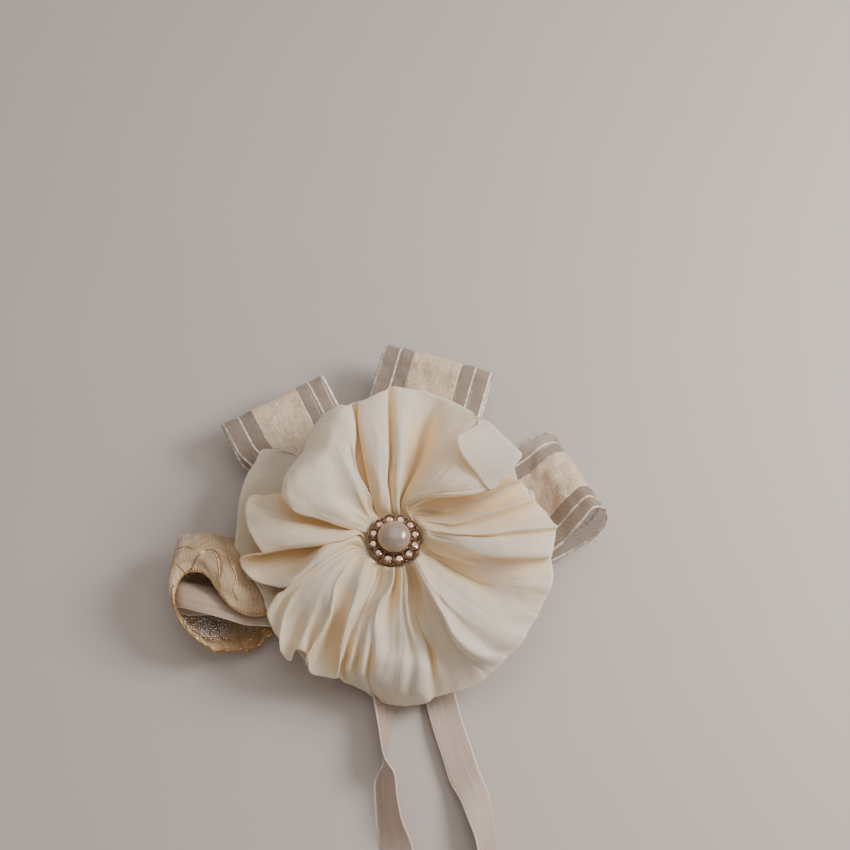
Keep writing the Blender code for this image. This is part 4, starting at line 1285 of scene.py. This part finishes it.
    (-172, (612, 690, 15), (530, 700, 16.8), (440, 715, 17.8), (350, 720, 18.2), (250, 730, 18.2),
     (138, 738, 17.6)),
    (-178, (610, 680, 14.8), (520, 680, 16.2), (430, 690, 17.2), (330, 680, 18), (220, 665, 18.2),
     (100, 660, 17.4)),
    (-184, (612, 672, 14.2), (520, 665, 15), (430, 670, 15.6), (330, 640, 16.8), (210, 600, 17.8),
     (95, 575, 17.6)),
    (-189, (618, 665, 13.8), (520, 655, 14.4), (440, 650, 15), (350, 620, 16), (240, 580, 17),
     (112, 528, 17.6)),
    (-193, (622, 660, 13.7), (530, 640, 14.3), (450, 620, 15), (380, 590, 15.6), (300, 560, 16.2),
     (200, 522, 16.6)),
    (-195, (620, 672, 14.2), (545, 640, 15.7), (470, 610, 17.2), (400, 580, 18.2), (325, 545, 19)),
    (-197, (640, 690, 14.6), (573, 677, 16.4), (509, 659, 18), (423, 627, 20), (323, 600, 21.6),
     (259, 537, 22.6)),
    (-200, (640, 672, 15), (570, 650, 17.4), (500, 620, 19.6), (420, 580, 21.6), (340, 530, 23),
     (285, 490, 23.7), (262, 480, 22.8)),
    (-205, (640, 655, 15.2), (570, 620, 18), (500, 570, 20.6), (420, 510, 22.6), (370, 470, 23.6),
     (323, 441, 24), (300, 430, 23), (282, 423, 21.6)),
    (-211, (645, 640, 15.2), (580, 590, 17.4), (520, 530, 19.8), (470, 460, 22.4), (440, 400, 23.6),
     (420, 365, 24), (370, 355, 22.8), (323, 359, 20.8)),
    (-217, (650, 625, 15.6), (600, 550, 18.6), (560, 480, 21), (520, 400, 22.8), (485, 340, 23.8),
     (464, 314, 24.2), (410, 300, 22.8), (358, 309, 20.6)),
    (-223, (655, 610, 15.8), (620, 530, 19), (590, 450, 21.2), (550, 360, 23), (515, 280, 24),
     (488, 214, 24.4), (430, 205, 22.8), (385, 235, 20.8)),
    (-228, (660, 600, 15.8), (635, 510, 19), (600, 420, 21.2), (570, 330, 22.8), (545, 240, 24),
     (523, 150, 24.4), (480, 150, 23), (438, 165, 21.2)),
    (-232, (663, 590, 15.6), (645, 500, 18.8), (605, 420, 21), (585, 330, 22.4), (575, 240, 23.4),
     (548, 127, 23.8), (525, 110, 22.8), (500, 118, 21.6)),
    (-235, (670, 585, 15.2), (664, 523, 17.4), (640, 490, 18.4), (604, 455, 19.4), (583, 395, 20.6),
     (583, 327, 21.4), (590, 245, 22), (582, 168, 22.4), (560, 112, 22.4)),
    (-238, (676, 582, 14), (672, 520, 15), (652, 480, 15.6), (622, 440, 16.4), (605, 380, 17.4),
     (602, 310, 18.2), (606, 240, 19), (598, 165, 20), (583, 103, 20.6)),
    (-241, (680, 580, 13.8), (682, 520, 14.6), (672, 470, 15.2), (655, 400, 16.2), (635, 305, 17.4),
     (622, 180, 19.2), (612, 95, 20.2)),
    (-244, (685, 578, 15.2), (662, 509, 17.6), (642, 405, 19.8), (624, 305, 21), (606, 177, 22),
     (609, 94, 22)),
    (-249, (700, 578, 15.6), (690, 505, 18.4), (680, 405, 20.6), (665, 305, 21.8), (655, 177, 22.8),
     (655, 78, 22.6)),
    (-256, (720, 580, 15.6), (715, 505, 18.4), (712, 405, 20.4), (710, 305, 21.6), (700, 177, 22.6),
     (700, 58, 22.4)),
    (-262, (742, 585, 15.2), (742, 530, 17.2), (732, 470, 18.8), (738, 320, 20.8), (734, 190, 22),
     (736, 44, 22.2)),
)

# Where a fan spoke starts, and its two middle points as shares of its reach
FAN_START, FAN_START_HEIGHT = 13, 10.2
FAN_NEAR, FAN_FAR = 0.62, 0.85
FAN_DROP, FAN_CURL = 0.7, 0.3


def fan(angle, reach, middle, rim):
    """A plain spoke of the lower layer, which drops to its rim with a slight curl."""
    way = polar(math.radians(angle))
    curl = middle * (1 - FAN_DROP) + rim * FAN_DROP + FAN_CURL
    return (angle, way * FAN_START + UP * FAN_START_HEIGHT,
            way * reach * FAN_NEAR + UP * middle, way * reach * FAN_FAR + UP * curl,
            way * reach + UP * rim)


LOWER = (
    fan(90, 33, 12, 11.8), fan(81, 32.5, 11.6, 10.6), fan(72, 33.5, 12.2, 12.4),
    fan(63, 32.5, 11.6, 10.4), fan(54, 33, 12, 12), fan(46, 32, 11.4, 10), fan(37, 33, 11.8, 12),
    fan(29, 32, 11.2, 9.8), fan(21, 33.5, 11.6, 12.4), fan(13, 32.5, 11.2, 10), fan(5, 34, 11.6, 12.4),
    fan(-3, 33, 11.2, 10.2), fan(-11, 34, 11.4, 12.4), fan(-18, 33, 11, 10.4),
    (-24, (1200, 880, 10.6), (1330, 960, 11.8), (1430, 1015, 12.4)),
    (-30, (1100, 950, 10.5), (1250, 1050, 12.5), (1350, 1100, 13), (1408, 1085, 12)),
    (-36, (1050, 1000, 10.5), (1180, 1110, 13), (1290, 1170, 13.2), (1372, 1150, 11.5)),
    (-42, (1000, 1030, 10.5), (1120, 1150, 13), (1220, 1230, 13), (1310, 1230, 11)),
    (-48, (960, 1050, 10.3), (1080, 1190, 12.8), (1170, 1290, 10.6), (1228, 1300, 8.8)),
    (-54, (930, 1060, 10), (1030, 1210, 11.6), (1100, 1325, 9.6), (1142, 1358, 7.6)),
    (-60, (900, 1070, 9.8), (985, 1230, 10.8), (1040, 1345, 8.4), (1070, 1394, 6.2)),
    (-65, (880, 1080, 9.6), (965, 1220, 10.4), (990, 1340, 8.2), (1010, 1418, 5.4)),
    (-68, (870, 1090, 9.4), (966, 1215, 10.2), (968, 1310, 8.8), (975, 1438, 5.5)),
    (-70, (865, 1090, 9.4), (940, 1215, 9.6), (938, 1330, 8.6), (930, 1424, 5.2)),
    (-76, (845, 1095, 9.4), (888, 1212, 10.4), (880, 1330, 9.4), (876, 1444, 4.6)),
    (-84, (812, 1100, 9.4), (825, 1216, 10), (808, 1335, 8.8), (808, 1450, 4.2)),
    (-90, (785, 1100, 9.4), (776, 1216, 10.2), (758, 1330, 9), (758, 1446, 4.2)),
    (-96, (755, 1100, 9.2), (735, 1200, 9.6), (712, 1290, 8.4), (706, 1432, 3.9)),
    (-103, (722, 1095, 9), (668, 1205, 9.2), (640, 1300, 7.8), (652, 1398, 4)),
    (-110, (690, 1085, 8.8), (600, 1200, 8.4), (566, 1290, 7.2), (580, 1362, 4.4)),
    (-116, (650, 1070, 8.6), (552, 1185, 8.4), (530, 1260, 8.2), (524, 1330, 7.4)),
    (-120, (620, 1058, 8.4), (500, 1175, 7.8), (462, 1250, 7.6), (444, 1312, 7.2)),
    (-124, (594, 1047, 8.8), (460, 1150, 8.6), (400, 1220, 8.6), (374, 1285, 7.8)),
    (-128, (575, 1036, 8.8), (430, 1130, 9.6), (360, 1180, 9.8), (322, 1222, 9.2)),
    (-132, (552, 1018, 8.8), (398, 1108, 8.8), (322, 1150, 8.8), (284, 1198, 8.4)),
    (-137, (530, 1002, 8.8), (376, 1082, 9.6), (296, 1118, 9.8), (256, 1148, 9.4)),
    (-142, (515, 990, 9), (360, 1060, 9), (280, 1086, 9.2), (234, 1104, 9)),
    (-146, (500, 975, 8.8), (345, 1030, 9.6), (266, 1052, 10), (212, 1066, 9.8)),
    (-150, (490, 960, 9.2), (330, 1006, 10.8), (250, 1026, 11.2), (190, 1042, 10.6)),
    (-155, (480, 930, 9.2), (320, 970, 10), (240, 975, 10.4), (170, 980, 10)),
    (-160, (470, 880, 9.2), (320, 900, 10), (220, 915, 11), (132, 916, 10.6)),
    (-165, (460, 840, 9.2), (310, 860, 10.2), (180, 880, 11), (100, 900, 10.8)),
    (-170, (455, 800, 9.4), (300, 820, 10.6), (170, 835, 11.2), (50, 856, 10.8)),
    (-175, (455, 770, 9.4), (290, 780, 10.8), (160, 785, 11.4), (41, 784, 10.8)),
    (-180, (450, 740, 9.6), (290, 730, 11), (160, 720, 11.6), (45, 709, 11)),
    (-186, (450, 700, 9.8), (290, 670, 11.2), (170, 630, 11.8), (55, 603, 11.2)),
    (-191, (455, 650, 10), (300, 600, 11.4), (180, 560, 12), (68, 532, 11.4)),
    (-196, (460, 600, 10), (320, 530, 11.6), (210, 480, 12.2), (100, 432, 11.6)),
    (-201, (470, 560, 10), (350, 470, 11.8), (250, 390, 12.4), (135, 370, 11.8)),
    (-206, (480, 520, 10), (380, 410, 12), (290, 330, 12.6), (173, 314, 11.8)),
    (-210, (500, 500, 10), (420, 400, 11.8), (360, 360, 12), (300, 345, 11.4)),
    (-215, (510, 480, 10), (450, 380, 11.6), (400, 330, 11.8), (370, 300, 11)),
    fan(-226, 31, 12, 11.6), fan(-234, 31.5, 11.6, 10.4), fan(-242, 32.5, 12, 12),
    fan(-251, 32, 11.6, 10.6), fan(-261, 33, 12, 12),
)


def deepened(knot):
    """Raises ridges and sinks valleys a little."""
    x, y, height = knot
    away = height - RELIEF_MIDDLE
    return x, y, RELIEF_MIDDLE + away * (RIDGE_GAIN if away > 0 else VALLEY_GAIN)


def between(p0, p1, p2, p3, u):
    """Centripetal Catmull-Rom from p1 to p2, for arrays of points."""
    t0, t1, t2 = (np.sqrt(np.linalg.norm(b - a, axis=-1, keepdims=True)) + 1e-4
                  for a, b in ((p0, p1), (p1, p2), (p2, p3)))
    m1 = t1 * ((p1 - p0) / t0 - (p2 - p0) / (t0 + t1) + (p2 - p1) / t1)
    m2 = t1 * ((p2 - p1) / t1 - (p3 - p1) / (t1 + t2) + (p3 - p2) / t2)
    return ((2 * u ** 3 - 3 * u ** 2 + 1) * p1 + (u ** 3 - 2 * u ** 2 + u) * m1
            + (3 * u ** 2 - 2 * u ** 3) * p2 + (u ** 3 - u ** 2) * m2)


def even_spoke(angle, knots, hub, folded):
    """The spoke's points from the neck to the rim, evenly spread before and after its fold."""
    turn = math.radians(angle)
    line = [np.array((radius * math.cos(turn), radius * math.sin(turn), height))
            for radius, height in hub]
    line += [np.array(knot if isinstance(knot, Vector) else at_crop(*knot)) for knot in knots]
    padded = [2 * line[0] - line[1], *line, 2 * line[-1] - line[-2]]
    dense = [line[0]]
    for i in range(len(line) - 1):
        for k in range(1, SPOKE_SAMPLES + 1):
            dense.append(between(*padded[i:i + 4], k / SPOKE_SAMPLES))
    dense = np.array(dense)
    walked = np.concatenate([[0], np.cumsum(np.linalg.norm(np.diff(dense, axis=0), axis=1))])
    places = np.linspace(0, walked[-1], BLOOM_RINGS + 1)
    if folded:
        fold = walked[SPOKE_SAMPLES * (len(hub) + FLAP_KNOT)]
        inner = round(FLAP_SHARE * BLOOM_RINGS)
        places = np.concatenate([np.linspace(0, fold, inner + 1)[:-1],
                                 np.linspace(fold, walked[-1], BLOOM_RINGS - inner + 1)])
    return np.stack([np.interp(places, walked, dense[:, axis]) for axis in range(3)], axis=1)


def loft(spokes, hub, folded_angles=()):
    """The gathered surface through the spokes by ring, column and axis, and its angles."""
    lines = np.array([even_spoke(angle, knots, hub, angle in folded_angles)
                      for angle, *knots in spokes])
    count = len(lines)
    columns, turns = [], []
    for s in range(count):
        p0, p1, p2, p3 = (lines[(s + k) % count] for k in (-1, 0, 1, 2))
        widest = np.linalg.norm(p2 - p1, axis=1).max()
        steps = min(max(round(widest / BLOOM_STEP), LEAST_STEPS), MOST_STEPS)
        here, there = spokes[s][0], spokes[(s + 1) % count][0]
        for k in range(steps):
            columns.append(between(p0, p1, p2, p3, k / steps))
            turns.append(here - (here - there) % 360 * k / steps)
    return np.array(columns).transpose(1, 0, 2), turns


def grid_normals(surface):
    around = np.roll(surface, -1, axis=1) - np.roll(surface, 1, axis=1)
    outward = np.gradient(surface, axis=0)
    normal = np.cross(around, outward)
    return normal / (np.linalg.norm(normal, axis=2, keepdims=True) + 1e-9)


# How closely each kind of wrinkle is spaced round the bloom
GATHERS, FINE_GATHERS, SWELLS, FOLDS, FINE_FOLDS, CREASES, FLUTTERS = 7, 15, 2.6, 5.5, 11, 9, 9
# The distances from the brooch's middle between which a kind starts or dies away
WRINKLES_START, FOLDS_START = (6.6, 9.0), (10, 18)
GATHERS_END, FINE_GATHERS_END = (9, 26), (8, 20)
GATHER_DRIFT = 0.015
CREASE_WIDTH = 0.22
RIM_FLUTTER, FLUTTER_START = 0.5, 0.8
# The normals' upward shares from which wrinkles start, and from which they are at full height
STEEPNESS = (0.05, 0.35)


def wrinkle_height(way, r, ring, seed, pleat, ripple):
    """Gathers that run out from the hub, slow ripples over the open cloth and sharp creases."""
    drift = UP * (seed + ring * GATHER_DRIFT)
    gather = noise.noise(way * GATHERS + drift) * (1.3 - 1.1 * ease(r, *GATHERS_END))
    gather += 0.6 * noise.noise(way * FINE_GATHERS + drift) * (1 - ease(r, *FINE_GATHERS_END))
    slow = noise.noise(way * SWELLS + Vector((r / 9.0, r / 14.0, seed)))
    fold = noise.noise(way * FOLDS + Vector((0, r / 20.0, seed + 3))) * ease(r, *FOLDS_START)
    fine = noise.noise(way * FINE_FOLDS + Vector((r / 4.0, r / 6.0, seed + 5)))
    crease = abs(noise.noise(way * CREASES + Vector((r / 34.0, 0, seed + 11))))
    crease = max(0.0, CREASE_WIDTH - crease) / CREASE_WIDTH * ramp(slow, -0.25, 0.35)
    rippled = slow + 0.8 * fold + 0.3 * fine - 0.8 * crease
    return ease(r, *WRINKLES_START) * (pleat * gather + ripple * rippled)


def wrinkle(surface, turns, seed, pleat, ripple):
    """Moves the cloth along its normals, except where it stands steep."""
    normal = grid_normals(surface)
    radius = np.hypot(surface[:, :, 0], surface[:, :, 1])
    rings, columns = radius.shape
    moved = surface.copy()
    for j in range(columns):
        way = polar(math.radians(turns[j]))
        flutter = RIM_FLUTTER * noise.noise(way * FLUTTERS + UP * (seed + 8))
        for i in range(rings):
            away = wrinkle_height(way, radius[i, j], i, seed, pleat, ripple)
            away += flutter * ease(i / (rings - 1), FLUTTER_START, 1.0)
            moved[i, j] += normal[i, j] * away * ease(normal[i, j, 2], *STEEPNESS)
    return clear_brooch(moved)


# The greatest height of the cloth by its distance from the brooch's middle
BROOCH_CLEARANCE = ((0.0, 12.95), (6.2, 12.95), (6.7, 14.4), (7.3, 17.0), (8.5, 40.0))


def clear_brooch(surface):
    """Holds the cloth under the brooch and out of its cups."""
    radius = np.hypot(surface[:, :, 0], surface[:, :, 1])
    most = np.interp(radius, *zip(*BROOCH_CLEARANCE))
    surface[:, :, 2] = np.minimum(surface[:, :, 2], most)
    return surface


NECK_RADIUS = 7.0
LOWER_LEAST = 9.0
UNDER_FLOOR = -5


def keep_below(surface, cover):
    """Lowers the surface wherever the cover passes under it or too close over it."""
    rings, columns, _ = cover.shape
    tree = BVHTree.FromPolygons([Vector(point) for point in cover.reshape(-1, 3)],
                                grid_faces(rings, columns, closed=True))
    for place in surface.reshape(-1, 3):
        x, y, z = place
        if math.hypot(x, y) < NECK_RADIUS:
            continue
        hit = tree.ray_cast(Vector((x, y, UNDER_FLOOR)), UP)[0]
        if hit is not None and z > hit.z - LAYER_GAP:
            least = LOWER_LEAST if z > LOWER_LEAST else z - LAYER_GAP
            place[2] = max(hit.z - LAYER_GAP, least)


def bloom_piece(name, node, material, surface, turns):
    length = np.linalg.norm(np.diff(surface, axis=0), axis=2).sum(axis=0).mean()
    rings = len(surface) - 1
    closing = turns + [turns[0] - 360]

    def coordinates(i, j):
        return -math.radians(closing[j]) * BLOOM_UV_RADIUS, length * (i / rings - 1)

    grid = [[Vector(point) for point in ring] for ring in surface]
    piece = grid_piece(name, grid, coordinates, material, BLOOM_THICKNESS, closed=True)
    stand_in(piece, node)
    return piece


UPPER_SURFACE, UPPER_TURNS = loft(
    [(angle, *(deepened(knot) for knot in knots)) for angle, *knots in UPPER],
    UPPER_HUB, FLAP_ANGLES)
UPPER_SURFACE = wrinkle(UPPER_SURFACE, UPPER_TURNS, seed=2.0, pleat=0.85, ripple=0.6)
LOWER_SURFACE, LOWER_TURNS = loft(LOWER, LOWER_HUB)
LOWER_SURFACE = wrinkle(LOWER_SURFACE, LOWER_TURNS, seed=9.0, pleat=0.75, ripple=0.9)
keep_below(LOWER_SURFACE, UPPER_SURFACE)
UPPER_PIECE = bloom_piece("bloom_upper_folds", "bloom_upper_layer", UPPER_CLOTH,
                          UPPER_SURFACE, UPPER_TURNS)
LOWER_PIECE = bloom_piece("bloom_lower_ruffle", "bloom_lower_layer", LOWER_CLOTH,
                          LOWER_SURFACE, LOWER_TURNS)


# Floor and light, in metres and watts
FLOOR_HALF = 3.0
LIGHT_TARGET, PEARL_TOP = (0, 0, 0.01), (0, 0, 0.018)
STUDIO_COLOUR, STUDIO_STRENGTH = (1.0, 0.91, 0.82, 1.0), 0.5
# Each lamp's name, place, target, size, power and colour
LAMPS = (
    ("key_right", (0.27, 0.07, 0.225), LIGHT_TARGET, 0.17, 1.52, (1.0, 0.975, 0.94)),
    ("sky_above", (0.1, 0.35, 1.1), LIGHT_TARGET, 0.9, 2.8, (0.97, 0.98, 1.0)),
    ("pearl_spark", (0.24, -0.32, 0.17), PEARL_TOP, 0.02, 0.12, (1, 1, 1)),
)


def make_stage():
    mesh = bpy.data.meshes.new("floor")
    corners = [(x * FLOOR_HALF, y * FLOOR_HALF, 0) for x, y in ((-1, -1), (1, -1), (1, 1), (-1, 1))]
    mesh.from_pydata(corners, [], [(0, 1, 2, 3)])
    mesh.materials.append(floor_finish())
    floor = bpy.data.objects.new("floor", mesh)
    bpy.context.scene.collection.objects.link(floor)


def area_light(name, place, target, size, power, colour):
    data = bpy.data.lights.new(name, "AREA")
    data.shape = "DISK"
    data.size = size
    data.energy = power
    data.color = colour
    lamp = bpy.data.objects.new(name, data)
    lamp.location = place
    aim = Vector(target) - Vector(place)
    lamp.rotation_mode = "QUATERNION"
    lamp.rotation_quaternion = aim.to_track_quat("-Z", "Y")
    bpy.context.scene.collection.objects.link(lamp)


def make_light():
    world = bpy.data.worlds.new("studio")
    world.use_nodes = True
    background = world.node_tree.nodes["Background"]
    background.inputs["Color"].default_value = STUDIO_COLOUR
    background.inputs["Strength"].default_value = STUDIO_STRENGTH
    bpy.context.scene.world = world
    for lamp in LAMPS:
        area_light(*lamp)


make_stage()
make_light()
